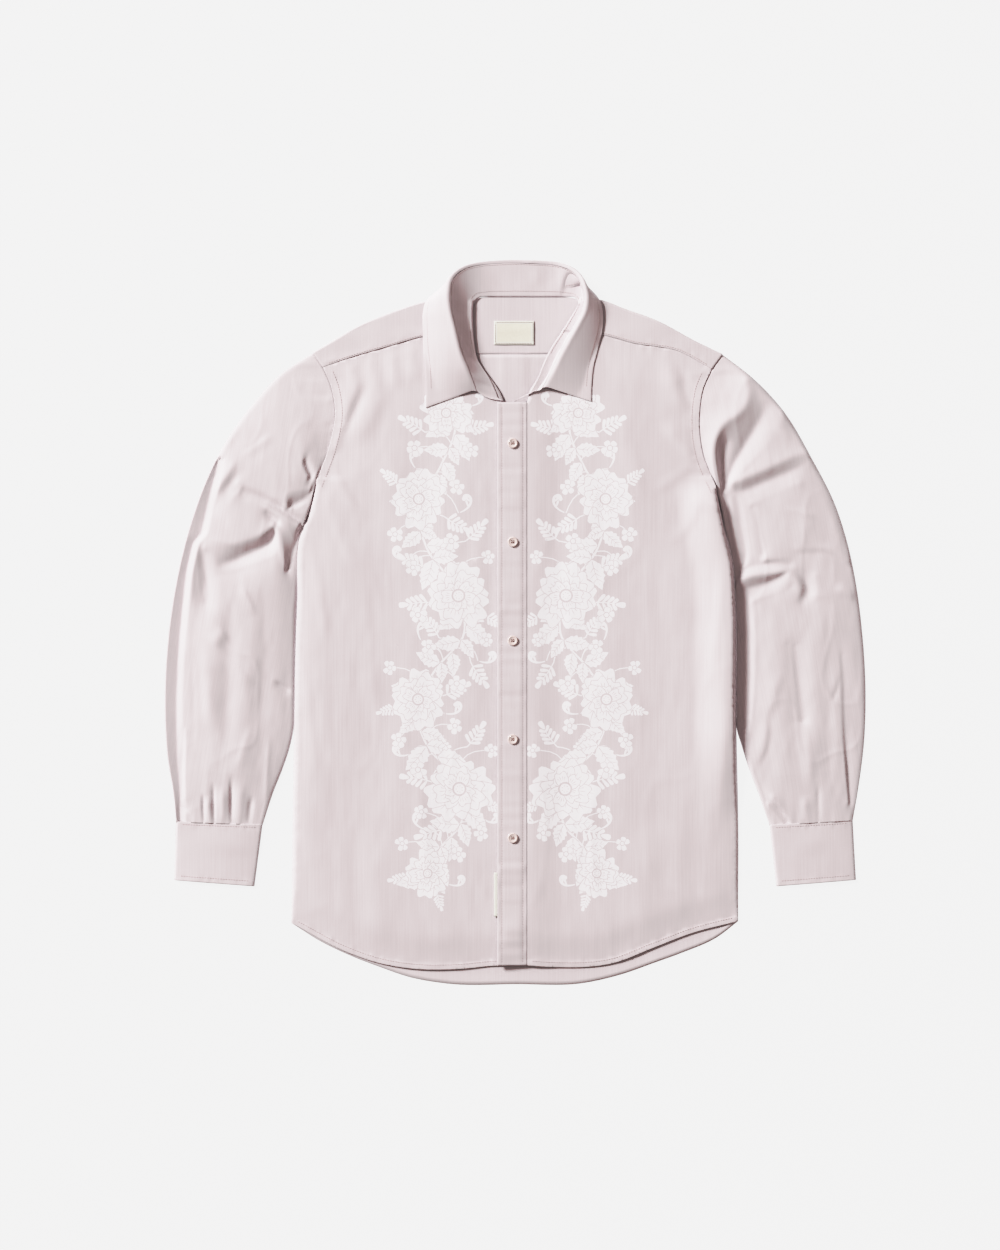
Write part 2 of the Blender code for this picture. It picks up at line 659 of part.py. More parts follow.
def build_tab(placket):
    # A narrow bare tab that stands out from the placket's edge
    edge = placket[:, -1]
    ys = np.linspace(TAB_HIGH, TAB_LOW, 5)
    top = np.interp(-ys, -edge[:, 1], edge[:, 2])
    near = np.column_stack([np.full(len(ys), PLACKET_LEFT - SEAM_GAP), ys, top])
    far = near.copy()
    far[:, 0] -= TAB_WIDTH
    panel("placket_tab", np.stack([far, near], axis=1), label_weave())


def build_buttons(placket):
    # Four-hole shirt buttons down the middle of the placket
    for number in range(BUTTON_COUNT):
        y = BUTTON_FIRST_Y - number * BUTTON_PITCH
        near = np.abs(placket[..., 1] - y) < BUTTON_REACH
        seat = np.max(placket[..., 2][near]) + SEAM_GAP
        bm = bmesh.new()
        bmesh.ops.create_cone(
            bm, cap_ends=True, segments=24, radius1=BUTTON_DIAMETER / 2 * MM,
            radius2=BUTTON_DIAMETER / 2 * MM, depth=BUTTON_THICK * MM,
        )
        made = add_object(f"button_{number + 1}", bm, pearl())
        made.location = (BUTTON_X * MM, y * MM, (seat + BUTTON_THICK / 2) * MM)
        bevel = made.modifiers.new("rim", "BEVEL")
        bevel.width = BUTTON_RIM * MM
        bevel.segments = 1
        bevel.limit_method = "ANGLE"
        holes = made.modifiers.new("holes", "BOOLEAN")
        holes.operation = "DIFFERENCE"
        holes.solver = "EXACT"
        holes.operand_type = "OBJECT"
        holes.object = hole_cutter(number, made.location)


def hole_cutter(number, place):
    bm = bmesh.new()
    for k in range(4):
        angle = math.pi / 4 + k * math.pi / 2
        before = set(bm.verts)
        bmesh.ops.create_cone(
            bm, cap_ends=True, segments=6, radius1=HOLE_DIAMETER / 2 * MM,
            radius2=HOLE_DIAMETER / 2 * MM, depth=BUTTON_THICK * 3 * MM,
        )
        fresh = [v for v in bm.verts if v not in before]
        away = HOLE_OFFSET * MM
        bmesh.ops.translate(bm, verts=fresh, vec=(away * math.cos(angle), away * math.sin(angle), 0))
    mesh = bpy.data.meshes.new(f"holes_{number + 1}")
    bm.to_mesh(mesh)
    bm.free()
    cutter = bpy.data.objects.new(f"holes_{number + 1}", mesh)
    cutters.objects.link(cutter)
    cutter.location = place
    cutter.hide_render = True
    cutter.display_type = "WIRE"
    return cutter


def collection(name):
    made = bpy.data.collections.new(name)
    bpy.context.scene.collection.children.link(made)
    return made


for old in list(bpy.data.objects):
    bpy.data.objects.remove(old, do_unlink=True)
shirt = collection("poplin_shirt")
cutters = collection("cutters")

build_back()
yoke_flaps = build_yoke()
fronts = build_fronts()
for wearer_side in ("wearer_right", "wearer_left"):
    cuff_seam = build_sleeve(wearer_side)
    build_cuff(wearer_side, cuff_seam)
build_collar(np.vstack([refined(grid) for grid in yoke_flaps + fronts]))
build_label()
build_tab(fronts[-1])
build_buttons(fronts[-1])
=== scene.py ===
import math
import bpy
import numpy as np
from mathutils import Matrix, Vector, geometry


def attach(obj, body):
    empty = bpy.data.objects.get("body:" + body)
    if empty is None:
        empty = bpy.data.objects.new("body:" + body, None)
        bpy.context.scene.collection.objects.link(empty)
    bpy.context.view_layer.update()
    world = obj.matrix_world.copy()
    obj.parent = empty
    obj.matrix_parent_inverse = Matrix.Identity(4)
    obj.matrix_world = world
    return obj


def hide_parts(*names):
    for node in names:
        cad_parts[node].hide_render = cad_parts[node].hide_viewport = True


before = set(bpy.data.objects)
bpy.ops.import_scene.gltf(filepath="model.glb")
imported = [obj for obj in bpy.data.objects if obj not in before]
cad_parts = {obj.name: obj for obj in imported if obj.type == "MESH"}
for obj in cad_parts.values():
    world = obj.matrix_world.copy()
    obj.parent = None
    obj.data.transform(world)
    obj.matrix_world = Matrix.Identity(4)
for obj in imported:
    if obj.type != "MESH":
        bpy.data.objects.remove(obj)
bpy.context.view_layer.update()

mm = 0.001

# Sizes in millimetres, as the solids have them: +X to the wearer's left, +Y to the collar
cloth = {"wall": 0.5, "shoulderTurn": 1.7, "seamTop": 3.4, "seamRise": 0.15}
sides = ("wearerRight", "wearerLeft")
outward = {"wearerRight": -1, "wearerLeft": 1}

shoulder = {
    "wearerRight": [(-230, 307), (-172, 340), (-131, 356), (-96, 366), (-49, 366)],
    "wearerLeft": [(236, 305), (205, 320), (162, 343), (124, 357), (95, 367), (74, 366)],
}
armhole = {
    "wearerRight": [(-230, 307), (-218, 288), (-208, 262), (-205, 239), (-211, 203), (-228, 156)],
    "wearerLeft": [(236, 305), (226, 290), (215, 268), (210, 239), (213, 195), (231, 149)],
}
bodySide = {
    "wearerRight": [(-228, 156), (-235, 125), (-244, 102), (-248.5, 25), (-252.5, -157), (-254.8, -343)],
    "wearerLeft": [(231, 149), (239, 107), (248.5, 66), (251, 31), (252, -96), (254.7, -248), (254.2, -341)],
}
yokeSeam = {
    "wearerRight": [(-195, 298.7), (-145, 313.5), (-105, 325), (-48, 333)],
    "wearerLeft": [(188, 307.8), (133, 318), (104, 326), (54, 332)],
}
neckline = {
    "wearerRight": [(-48, 333), (-46, 312), (-41, 296), (-28, 278), (-16, 260), (-12, 250)],
    "wearerLeft": [(54, 332), (41, 312), (33, 296), (26, 278), (17, 263), (13.7, 250)],
}
frontHem = {
    "wearerRight": [(-254.8, -343), (-189, -377), (-154, -388.7), (-116, -395), (-58, -395), (-27, -392),
        (13.7, -391)],
    "wearerLeft": [(254.2, -341), (202, -354.5), (157, -371.6), (112, -388.7), (40, -393), (13.7, -391)],
}
backHem = [
    (-254.8, -343), (-222, -363.7), (-189, -379.6), (-154.5, -393), (-120, -404.7), (-76, -412.2),
    (1, -412.7),
    (77.5, -411.5), (123, -401), (157, -389), (190, -377), (229, -360), (254.2, -341),
]
backNeck = [(-49, 366), (-44, 368.5), (-30, 370.5), (15, 370.5), (55, 370.5), (69, 368.5), (74, 366)]
backYokeSeam = [(-130, 294), (-60, 304), (5, 305), (70, 304), (138, 294)]
yokeShare = {"front": 0.125, "back": 0.222}  # where the yoke's seams meet the armhole


def unit(vectors):
    return vectors / np.maximum(np.linalg.norm(vectors, axis=-1, keepdims=True), 1e-9)


def stepsOf(line):
    return np.linalg.norm(np.diff(line, axis=0), axis=1)


def lengthOf(line):
    return stepsOf(line).sum()


def curveAt(points, steps, shares):
    # a smooth curve through points that lie the given steps apart, at shares 0 to 1 of its length
    knots = np.concatenate([[0.0], np.cumsum(steps)])
    slopes = np.gradient(points, knots, axis=0)
    place = np.clip(np.asarray(shares, float), 0, 1) * knots[-1]
    i = np.clip(np.searchsorted(knots, place, side="right") - 1, 0, len(steps) - 1)
    h = steps[i][:, None]
    f = (place - knots[i])[:, None] / h
    return (
        (2 * f**3 - 3 * f**2 + 1) * points[i] + (f**3 - 2 * f**2 + f) * h * slopes[i]
        + (3 * f**2 - 2 * f**3) * points[i + 1] + (f**3 - f**2) * h * slopes[i + 1]
    )


def smoothCurve(rows, shares):
    points = np.array(rows, float)
    return curveAt(points, stepsOf(points), shares)


def evenly(rows, count):
    return smoothCurve(rows, np.linspace(0, 1, count))


def easing(value, low, high):
    f = np.clip((value - low) / (high - low), 0, 1)
    return f * f * (3 - 2 * f)


def roundOff(away, turn):
    # a quarter circle from 0 at an edge to 1 where the turn ends
    return np.sqrt(np.clip(1 - (1 - np.clip(away / turn, 0, 1)) ** 2, 0, 1))


def circlePoints(count):
    angles = np.linspace(0, 2 * math.pi, count, endpoint=False)
    return np.column_stack([np.cos(angles), np.sin(angles)])


def pointGrid(xs, ys):
    return np.stack(np.meshgrid(xs, ys), axis=-1)


def patchGrid(top, bottom, left, right):
    # points between four edge curves that meet at the corners
    s = np.linspace(0, 1, len(left))[:, None, None]
    t = np.linspace(0, 1, len(top))[None, :, None]
    corners = (1 - s) * ((1 - t) * top[0] + t * top[-1]) + s * ((1 - t) * bottom[0] + t * bottom[-1])
    return (1 - t) * left[:, None] + t * right[:, None] + (1 - s) * top[None] + s * bottom[None] - corners


def distanceTo(points, line):
    # plan distance from each point to a line of short pieces
    best = np.full(len(points), 1e9)
    for a, b in zip(line[:-1], line[1:]):
        run = b - a
        share = np.clip(((points - a) @ run) / max(run @ run, 1e-9), 0, 1)
        best = np.minimum(best, np.linalg.norm(points - a - share[:, None] * run, axis=1))
    return best


def softNoise(points, scale, seed):
    # smooth random hills about the given size in mm, from -1 to 1
    lattice = np.random.RandomState(seed).uniform(-1, 1, (64, 64))
    u = points / np.asarray(scale, float) + 500
    i = np.floor(u).astype(int)
    f = u - i
    f = f * f * (3 - 2 * f)
    x0, y0 = i[:, 0] % 64, i[:, 1] % 64
    x1, y1 = (x0 + 1) % 64, (y0 + 1) % 64
    low = lattice[x0, y0] * (1 - f[:, 0]) + lattice[x1, y0] * f[:, 0]
    high = lattice[x0, y1] * (1 - f[:, 0]) + lattice[x1, y1] * f[:, 0]
    return low * (1 - f[:, 1]) + high * f[:, 1]


foldColumns = ("x0", "y0", "x1", "y1", "rise", "width", "lean", "bend", "sharp")


def foldHeight(points, folds):
    # soft ridges, or troughs where rise is negative: lean steepens the flank to the left of the
    # line's direction, bend bows the line and sharp creases its crest
    total = np.zeros(len(points))
    for row in folds:
        fold = dict(zip(foldColumns, row + (0,) * (len(foldColumns) - len(row))))
        start = np.array([fold["x0"], fold["y0"]])
        run = np.array([fold["x1"], fold["y1"]]) - start
        length = np.linalg.norm(run)
        offset = points - start
        along = offset @ run / length**2
        aside = (offset[:, 0] * run[1] - offset[:, 1] * run[0]) / length
        aside = aside - fold["bend"] * (1 - (2 * np.clip(along, 0, 1) - 1) ** 2)
        width = fold["width"] * np.where(aside > 0, 1 + fold["lean"], 1 - fold["lean"])
        ends = easing(along, -0.15, 0.3) * (1 - easing(along, 0.7, 1.15))
        total += fold["rise"] * ends * np.exp(-(np.abs(aside / width) ** (2 - fold["sharp"])))
    return total


def creaseNet(points, scale, seed):
    # fine branching creases where smooth noise crosses nothing
    return np.clip(1 - 5 * np.abs(softNoise(points, scale, seed)), 0, 1) ** 1.5


def nearestOn(points, line):
    # plan distance to a line of (x, y, height) points, and the line's height at the nearest place
    best, height = np.full(len(points), 1e9), np.zeros(len(points))
    for a, b in zip(line[:-1], line[1:]):
        run = b[:2] - a[:2]
        share = np.clip(((points - a[:2]) @ run) / max(run @ run, 1e-9), 0, 1)
        away = np.linalg.norm(points - a[:2] - share[:, None] * run, axis=1)
        closer = away < best
        best = np.where(closer, away, best)
        height = np.where(closer, a[2] + (b[2] - a[2]) * share, height)
    return best, height


# small uneven form of the cloth: hills as rise, size and seed, then the net of creases
fineForm = {
    "front": ([(0.35, (26, 70), 3), (0.16, (9, 22), 4)], (0.22, (60, 120), 5)),
    "sleeve": ([(0.35, (16, 40), 51), (0.16, (7, 16), 52)], (0.35, (34, 60), 55)),
}
# puckers along rows of stitches: distance from the edge, reach, size, seed and rise
puckers = {
    "hem": (6, 4.0, (5, 40), 12, 0.42), "arm": (8.5, 5.0, (40, 6), 13, 0.35), "side": (3, 4.0, (40, 7), 14, 0.3),
    "seam": (0, 9.0, (6, 40), 15, 0.4), "yoke": (3, 4, (5, 30), 32, 0.3), "cuff": (4, 3, (5, 30), 62, 0.3),
}


def fineHeight(points, kind):
    hills, (rise, size, seed) = fineForm[kind]
    return sum(h * softNoise(points, s, n) for h, s, n in hills) + rise * creaseNet(points, size, seed)


def puckerHeight(points, away, kind):
    place, reach, size, seed, rise = puckers[kind]
    return np.exp(-((away - place) / reach) ** 2) * softNoise(points, size, seed) * rise


taut = {"hold": 1.3, "grip": 40.0, "ease": 0.012, "rounds": 420, "soften": 2}


def pulledTaut(plan, rest, lines):
    # a membrane over a grid of cloth, held at crest and valley lines and easing back to its rest
    flat = plan.reshape(-1, 2)
    grip, aim = np.zeros(len(flat)), np.zeros(len(flat))
    for row in lines:
        line = smoothCurve(row, np.linspace(0, 1, 4 * len(row)))
        near, height = nearestOn(flat, line)
        weight = taut["grip"] * np.exp(-((near / taut["hold"]) ** 2))
        grip += weight
        aim += weight * (height - rest.ravel())
    grip, aim = grip.reshape(rest.shape), aim.reshape(rest.shape)
    grip[[0, -1]] += taut["grip"]  # the two seamed ends stay where they are
    moved = np.zeros(rest.shape)
    for n in range(taut["rounds"] + taut["soften"]):
        p = np.pad(moved, 1, mode="edge")
        around = p[:-2, 1:-1] + p[2:, 1:-1] + p[1:-1, :-2] + p[1:-1, 2:]
        if n < taut["rounds"]:
            moved = (around + aim) / (4 + taut["ease"] + grip)
        else:
            moved = 0.5 * moved + 0.125 * around
    return rest + moved


# Nodes and their maths
class Wire:
    def __init__(self, graph, socket):
        self.graph, self.socket = graph, socket

    def sum(self, operation, first, second):
        return self.graph.node("ShaderNodeMath", {"operation": operation}, {0: first, 1: second})[0]

    def __add__(self, other):
        return self.sum("ADD", self, other)

    def __radd__(self, other):
        return self.sum("ADD", other, self)

    def __sub__(self, other):
        return self.sum("SUBTRACT", self, other)

    def __rsub__(self, other):
        return self.sum("SUBTRACT", other, self)

    def __mul__(self, other):
        return self.sum("MULTIPLY", self, other)

    def __rmul__(self, other):
        return self.sum("MULTIPLY", other, self)


class Graph:
    def __init__(self, name):
        self.material = bpy.data.materials.new(name)
        self.material.use_nodes = True
        self.tree = self.material.node_tree
        self.shader = self.tree.nodes["Principled BSDF"]

    def node(self, kind, settings, inputs):
        made = self.tree.nodes.new(kind)
        for key, value in settings.items():
            setattr(made, key, value)
        for key, value in inputs.items():
            self.feed(made.inputs[key], value)
        return [Wire(self, socket) for socket in made.outputs]

    def feed(self, socket, value):
        if isinstance(value, Wire):
            self.tree.links.new(value.socket, socket)
        else:
            socket.default_value = value

    def finish(self, **inputs):
        for key, value in inputs.items():
            self.feed(self.shader.inputs[key.replace("_", " ")], value)
        return self.material


def linear(*colour):
    return tuple(((c / 255 + 0.055) / 1.055) ** 2.4 if c > 10 else c / 255 / 12.92 for c in colour)


poplin = {
    "slub": (620, 12, 1), "cloud": 16.0, "threads": 180.0, "cloudShare": 0.6, "darken": 0.3,
    "slubHeight": 0.5, "bump": 0.16, "bumpDepth": 0.0006, "roughSpread": 0.08,
    "cloth": {
        "light": linear(229, 223, 226), "dark": linear(213, 206, 209),
        "weave": 0.2, "rough": 0.78, "sheen": 0.12,
    },
    "print": {
        "light": linear(250, 249, 252), "dark": linear(243, 242, 246),
        "weave": 0.12, "rough": 0.5, "sheen": 0.0,
    },
}


def clothMaterial(name, turn=0.0, kind="cloth"):
    look = poplin[kind]
    g = Graph(name)
    place = g.node("ShaderNodeTexCoord", {}, {})[3]
    asPoint = {"vector_type": "POINT"}
    grain = g.node("ShaderNodeMapping", asPoint, {"Vector": place, "Rotation": (0, 0, turn)})[0]
    streaks = g.node("ShaderNodeMapping", asPoint, {"Vector": grain, "Scale": poplin["slub"]})[0]
    slub = g.node("ShaderNodeTexNoise", {}, {
        "Vector": streaks, "Scale": 1.0, "Detail": 3.0, "Roughness": 0.6})[0]
    cloud = g.node("ShaderNodeTexNoise", {}, {
        "Vector": grain, "Scale": poplin["cloud"], "Detail": 3.0, "Roughness": 0.55})[0]
    warp, weft = [
        g.node("ShaderNodeTexWave", {"bands_direction": axis}, {
            "Vector": grain, "Scale": poplin["threads"], "Distortion": 0.6, "Detail": 1.0})[1]
        for axis in ("X", "Y")
    ]
    blend = slub + cloud * poplin["cloudShare"] - poplin["darken"]
    colour = g.node("ShaderNodeMix", {"data_type": "RGBA"}, {
        "Factor": blend, 6: (*look["dark"], 1), 7: (*look["light"], 1)})[2]
    height = warp * weft * look["weave"] + slub * poplin["slubHeight"]
    bump = g.node("ShaderNodeBump", {}, {
        "Height": height, "Strength": poplin["bump"], "Distance": poplin["bumpDepth"]})[0]
    return g.finish(Base_Color=colour, Roughness=slub * poplin["roughSpread"] + look["rough"], Normal=bump,
                    Sheen_Weight=look["sheen"], Sheen_Roughness=0.4, Specular_IOR_Level=0.25)


def plainMaterial(name, colour, roughness, spread, scale, **more):
    g = Graph(name)
    place = g.node("ShaderNodeTexCoord", {}, {})[3]
    grain = g.node("ShaderNodeTexNoise", {}, {"Vector": place, "Scale": scale, "Detail": 3.0})[0]
    dark, light = [(*[min(1, c * share) for c in colour], 1) for share in (1 - spread, 1 + spread)]
    mix = g.node("ShaderNodeMix", {"data_type": "RGBA"}, {"Factor": grain, 6: dark, 7: light})[2]
    bump = g.node("ShaderNodeBump", {}, {"Height": grain, "Strength": 0.15, "Distance": 0.0003})[0]
    return g.finish(Base_Color=mix, Roughness=grain * 0.06 + roughness, Normal=bump, **more)


materials = {
    "body": clothMaterial("poplinBody"), "rightSleeve": clothMaterial("poplinRightSleeve", 0.16),
    "leftSleeve": clothMaterial("poplinLeftSleeve", -0.16),
    "print": clothMaterial("whitePrint", kind="print"),
    "thread": plainMaterial("sewingThread", linear(178, 158, 158), 0.7, 0.05, 900.0),
    "label": plainMaterial("labelWeave", linear(229, 231, 224), 0.75, 0.03, 700.0, Sheen_Weight=0.2),
    "labelField": plainMaterial("labelField", linear(230, 229, 217), 0.75, 0.07, 420.0, Sheen_Weight=0.2),
    "pearl": plainMaterial(
        "pinkPearl", linear(233, 219, 216), 0.22, 0.06, 120.0, Coat_Weight=0.6, Coat_Roughness=0.1),
}


def placeInScene(name, data):
    made = bpy.data.objects.new(name, data)
    bpy.context.scene.collection.objects.link(made)
    return made


def makeMesh(name, points, faces, materialNames, indices=None, wall=None, side=-1):
    mesh = bpy.data.meshes.new(name)
    corners = [tuple(int(i) for i in face) for face in faces]
    mesh.from_pydata([tuple(p) for p in np.asarray(points) * mm], [], corners)
    for material in materialNames:
        mesh.materials.append(materials[material])
    if indices is not None:
        mesh.polygons.foreach_set("material_index", np.asarray(indices, np.int32))
    mesh.shade_smooth()
    mesh.update()
    piece = placeInScene(name, mesh)
    if wall:
        solid = piece.modifiers.new("wall", "SOLIDIFY")
        solid.thickness = wall * mm
        solid.offset = side
    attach(piece, "root")
    return piece


def dressed(piece, node):
    # the piece takes the place of one of the part's solids
    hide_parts(node)
    return piece


def gridFaces(rows, cols, closed=False):
    i = np.arange(rows - 1)[:, None] * cols
    j = np.arange(cols if closed else cols - 1)[None]
    k = (j + 1) % cols
    return np.stack([i + j, i + cols + j, i + cols + k, i + k], axis=-1).reshape(-1, 4)


def surface(name, grid, materialNames, wall, side=-1, flip=False, closed=False, indices=None):
    faces = gridFaces(grid.shape[0], grid.shape[1], closed)
    if flip:
        faces = faces[:, ::-1]
    return makeMesh(name, grid.reshape(-1, 3), faces, materialNames, indices, wall, side)


def lift(plan, height):
    return np.concatenate([plan, np.asarray(height).reshape(plan.shape[:-1])[..., None]], axis=-1)


def spindle(tips, rings):
    # a closed form of rings of points between two tips
    count = len(rings[0])
    end = len(rings) * count + 1
    pairs = [(a, (a + 1) % count) for a in range(count)]
    faces = [(0, 1 + b, 1 + a) for a, b in pairs]
    faces += [tuple(face + 1) for face in gridFaces(len(rings), count, True)[:, ::-1]]
    faces += [(end, end - count + a, end - count + b) for a, b in pairs]
    return np.vstack([tips[:1], *rings, tips[1:]]), faces


def tube(rings):
    # a closed form through rings of points, with a flat cap at each end
    rows, count = len(rings), len(rings[0])
    faces = [tuple(face) for face in gridFaces(rows, count, True)[:, ::-1]]
    faces += [tuple(range(count))[::-1], tuple(range((rows - 1) * count, rows * count))]
    return np.vstack(rings), faces


def joined(shapes):
    points, faces, count = [], [], 0
    for shapePoints, shapeFaces in shapes:
        faces += [tuple(i + count for i in face) for face in shapeFaces]
        points.append(shapePoints)
        count += len(shapePoints)
    return np.vstack(points), faces


stitch = {"pitch": 3.0, "length": 2.1, "radius": 0.24, "around": 5}


def stitchRow(path):
    # short thread capsules lying along a path on the cloth
    length = stitch["length"]
    knots = np.concatenate([[0.0], np.cumsum(stepsOf(path))])
    starts = np.arange(stitch["pitch"] / 2, knots[-1] - length, stitch["pitch"])
    ends = []
    for places in (starts, starts + length):
        ends.append(np.stack([np.interp(places, knots, path[:, k]) for k in range(3)], axis=1))
    run = unit(ends[1] - ends[0])
    side = unit(np.cross(run, [0, 0, 1.0]))
    up = np.cross(run, side)
    ring = circlePoints(stitch["around"]) * stitch["radius"]
    capsules = []
    for n, middle in enumerate((ends[0] + ends[1]) / 2):
        around = ring[:, :1] * side[n] + ring[:, 1:] * up[n]
        rings = [middle + run[n] * length * share + around for share in (-0.3, 0.3)]
        capsules.append(spindle([ends[0][n], ends[1][n]], rings))
    return capsules


def sewRows(name, paths):
    capsules = [capsule for path in paths for capsule in stitchRow(np.asarray(path))]
    makeMesh(name, *joined(capsules), ["thread"])


# Fronts: one height field, a little above the solid's folds in detail
bodyFolds = [
    (-180, 268, -206, 196, 5.0, 11, 0.5, 0, 0.3),
    (-150, 268, -182, 205, 3.0, 15, 0.2), (-169, 270, -204, 200, -3.0, 9, 0.3),
    (-118, 270, -150, 120, 2.0, 24),
    (-188, 302, -180, 258, 1.8, 7), (-166, 308, -158, 262, 1.8, 7), (-143, 314, -135, 266, 1.8, 7),
    (-120, 320, -114, 274, 1.6, 7), (-190, 120, -205, -210, 2.6, 28), (-120, 60, -135, -330, 1.8, 32),
    (-226, 60, -232, -260, 1.6, 16), (-60, 190, -75, -60, 1.4, 30), (-165, -250, -150, -375, 1.6, 18),
    (-90, -280, -84, -385, 1.2, 18), (186, 296, 204, 246, -2.2, 7, 0.3), (176, 292, 190, 240, 2.0, 9),
    (170, 223, 206, 184, 2.4, 8, -0.3), (120, 250, 150, 90, 1.8, 28), (196, 110, 208, -240, 2.2, 28),
    (110, 20, 126, -300, 1.6, 32), (226, 30, 232, -250, 1.4, 16), (70, 160, 78, -90, 1.2, 30),
    (150, -240, 140, -360, 1.4, 18),
]
bodyCreases = [
    (-205, 180, -170, 120, 1.0, 6, 0.3, 6), (-214, 150, -180, 60, 0.9, 7, -0.3, 5),
    (-232, 90, -214, -20, 0.8, 6),
    (-150, 200, -120, 140, 0.6, 7), (-240, -40, -226, -180, 0.7, 6, 0.3), (-200, -230, -190, -340, 0.7, 8),
    (-110, -180, -100, -300, 0.6, 9), (-60, -200, -52, -360, 0.5, 9), (-90, 60, -84, -80, 0.5, 10),
    (-170, 60, -160, -120, 0.7, 10, 0.2), (-40, 120, -44, -20, 0.4, 8), (60, 40, 66, -160, 0.4, 10),
    (214, 150, 180, 90, 0.9, 7, 0.3, -5), (200, 176, 160, 150, 0.7, 6), (236, 60, 224, -60, 0.8, 6),
    (240, -80, 232, -220, 0.6, 6), (190, -200, 186, -330, 0.6, 9), (90, -210, 84, -350, 0.5, 9),
    (150, 60, 158, -60, 0.6, 10), (130, 200, 140, 150, 0.5, 8),
]
placket = {"left": -20.0, "right": 13.7, "lap": 2.0, "ramp": 40.0, "rise": 0.9, "pucker": 0.28}
centreEdge = {"wearerRight": placket["right"], "wearerLeft": placket["left"]}
body = {
    "loft": 2.4, "margin": 45.0, "grid": 3.6, "edgeStep": 3.0, "hemTop": 1.5, "hemMargin": 38.0,
    "foldShare": 0.62,
    "swell": {"wearerRight": 0.6, "wearerLeft": 12.5}, "sideRound": {"wearerRight": 4.4, "wearerLeft": 3.4},
    "armLift": {"wearerRight": 0.6, "wearerLeft": 3.0}, "edgeTop": 0.7, "yokeTuck": 1.2,
}


def bodyEdge(side, share, count=60):
    # armhole below the yoke's seam, then the side seam down to the hem
    arm = smoothCurve(armhole[side], np.linspace(share, 1, count // 3))
    return np.vstack([arm, evenly(bodySide[side], count)[1:]])


def seamLine(side, count=50):
    start = smoothCurve(armhole[side], [yokeShare["front"]])[0]
    return evenly([tuple(start)] + yokeSeam[side], count)


frontLines = {}
for side in sides:
    frontLines[side] = {
        "edge": bodyEdge(side, yokeShare["front"]), "seam": seamLine(side),
        "neck": evenly(neckline[side], 30), "hem": evenly(frontHem[side], 60),
        "arm": evenly(armhole[side], 24), "side": evenly(bodySide[side], 50),
    }


def armLift(points, toArm, side):
    # how far the armhole seam stands up, sleeve and body alike
    y = points[:, 1]
    stretch = easing(y, 148, 180) * (1 - easing(y, 245, 285))
    return body["armLift"][side] * np.exp(-((toArm / 30) ** 2)) * stretch


def drapeAt(points, side):
    # the front's height over its seams, without the lap
    lines = frontLines[side]
    away = np.minimum.reduce([distanceTo(points, lines[k]) for k in ("edge", "seam", "neck", "hem")])
    share = easing(away, 0, body["margin"])
    folds = np.maximum(body["foldShare"] * foldHeight(points, bodyFolds), -2.0 * share)
    creases = 0.8 * foldHeight(points, bodyCreases)
    form = folds + creases + fineHeight(points, "front")
    return share * body["loft"] + easing(away, 0, body["margin"] / 3) * form


def frontHeight(points, side):
    lines = frontLines[side]
    height = cloth["seamTop"] + drapeAt(points, side)
    away = {kind: distanceTo(points, lines[kind]) for kind in ("hem", "arm", "side", "seam")}
    toSide, toArm, toHem = away["side"], away["arm"], away["hem"]
    # the side rolls over to meet the back, and the hem lies down on it, lifting here and there
    low = points[:, 1] < 165
    turn = body["sideRound"][side]
    swell = body["swell"][side] * (1 - easing(-points[:, 1], 120, 230)) * easing(172 - points[:, 1], 0, 42)
    swell = (swell + 1.4) * easing(toSide, 0, turn + 1) * (1 - easing(toSide, turn + 3, 50))
    swell = swell * easing(toHem, 5, 60)
    height = height + np.where(low, swell, 0) + armLift(points, toArm, side)
    rolled = easing(170 - points[:, 1], 0, 12)
    edgeTop = body["edgeTop"]
    share = roundOff(toSide, turn) * rolled + 1 - rolled
    height = np.where(low, edgeTop + (height - edgeTop) * share, height)
    uneven = 0.5 + 0.5 * softNoise(points, (34, 300), 8)
    hemTop = body["hemTop"] + 1.5 * uneven
    height = hemTop + (height - hemTop) * easing(toHem, -12, body["hemMargin"])
    # stitched edges: a narrow turned hem, a felled armhole and puckers pulled by the stitches
    hemTurn = easing(toHem, 6.6, 5.6) * 0.45
    felled = easing(toArm, 9.8, 8.0) * easing(points[:, 1], 150, 165) * 0.2
    return height + hemTurn + felled + sum(puckerHeight(points, away[kind], kind) for kind in away)


def frontTop(points, side):
    # with the lap: the left front runs over the right one as far as the placket's edge
    height = frontHeight(points, side)
    if side == "wearerRight":
        return height
    over = 1 - easing(points[:, 0], placket["right"] + 4, placket["right"] + placket["ramp"])
    centre = np.column_stack([np.full(len(points), placket["right"]), points[:, 1]])
    under = frontHeight(centre, "wearerRight")
    lap = np.maximum(under - height, 0) * over
    return height + lap + placket["lap"] * over


def insidePolygon(points, outline):
    inside = np.zeros(len(points), bool)
    low, high = outline.min(axis=0), outline.max(axis=0)
    near = np.nonzero(((points >= low) & (points <= high)).all(axis=1))[0]
    if len(near) == 0:
        return inside
    x, y = points[near, 0], points[near, 1]
    hit = np.zeros(len(near), bool)
    for a, b in zip(outline, np.roll(outline, -1, axis=0)):
        if a[1] == b[1]:
            continue
        crosses = (a[1] > y) != (b[1] > y)
        hit ^= crosses & (x < (b[0] - a[0]) * (y - a[1]) / (b[1] - a[1]) + a[0])
    inside[near] = hit
    return inside


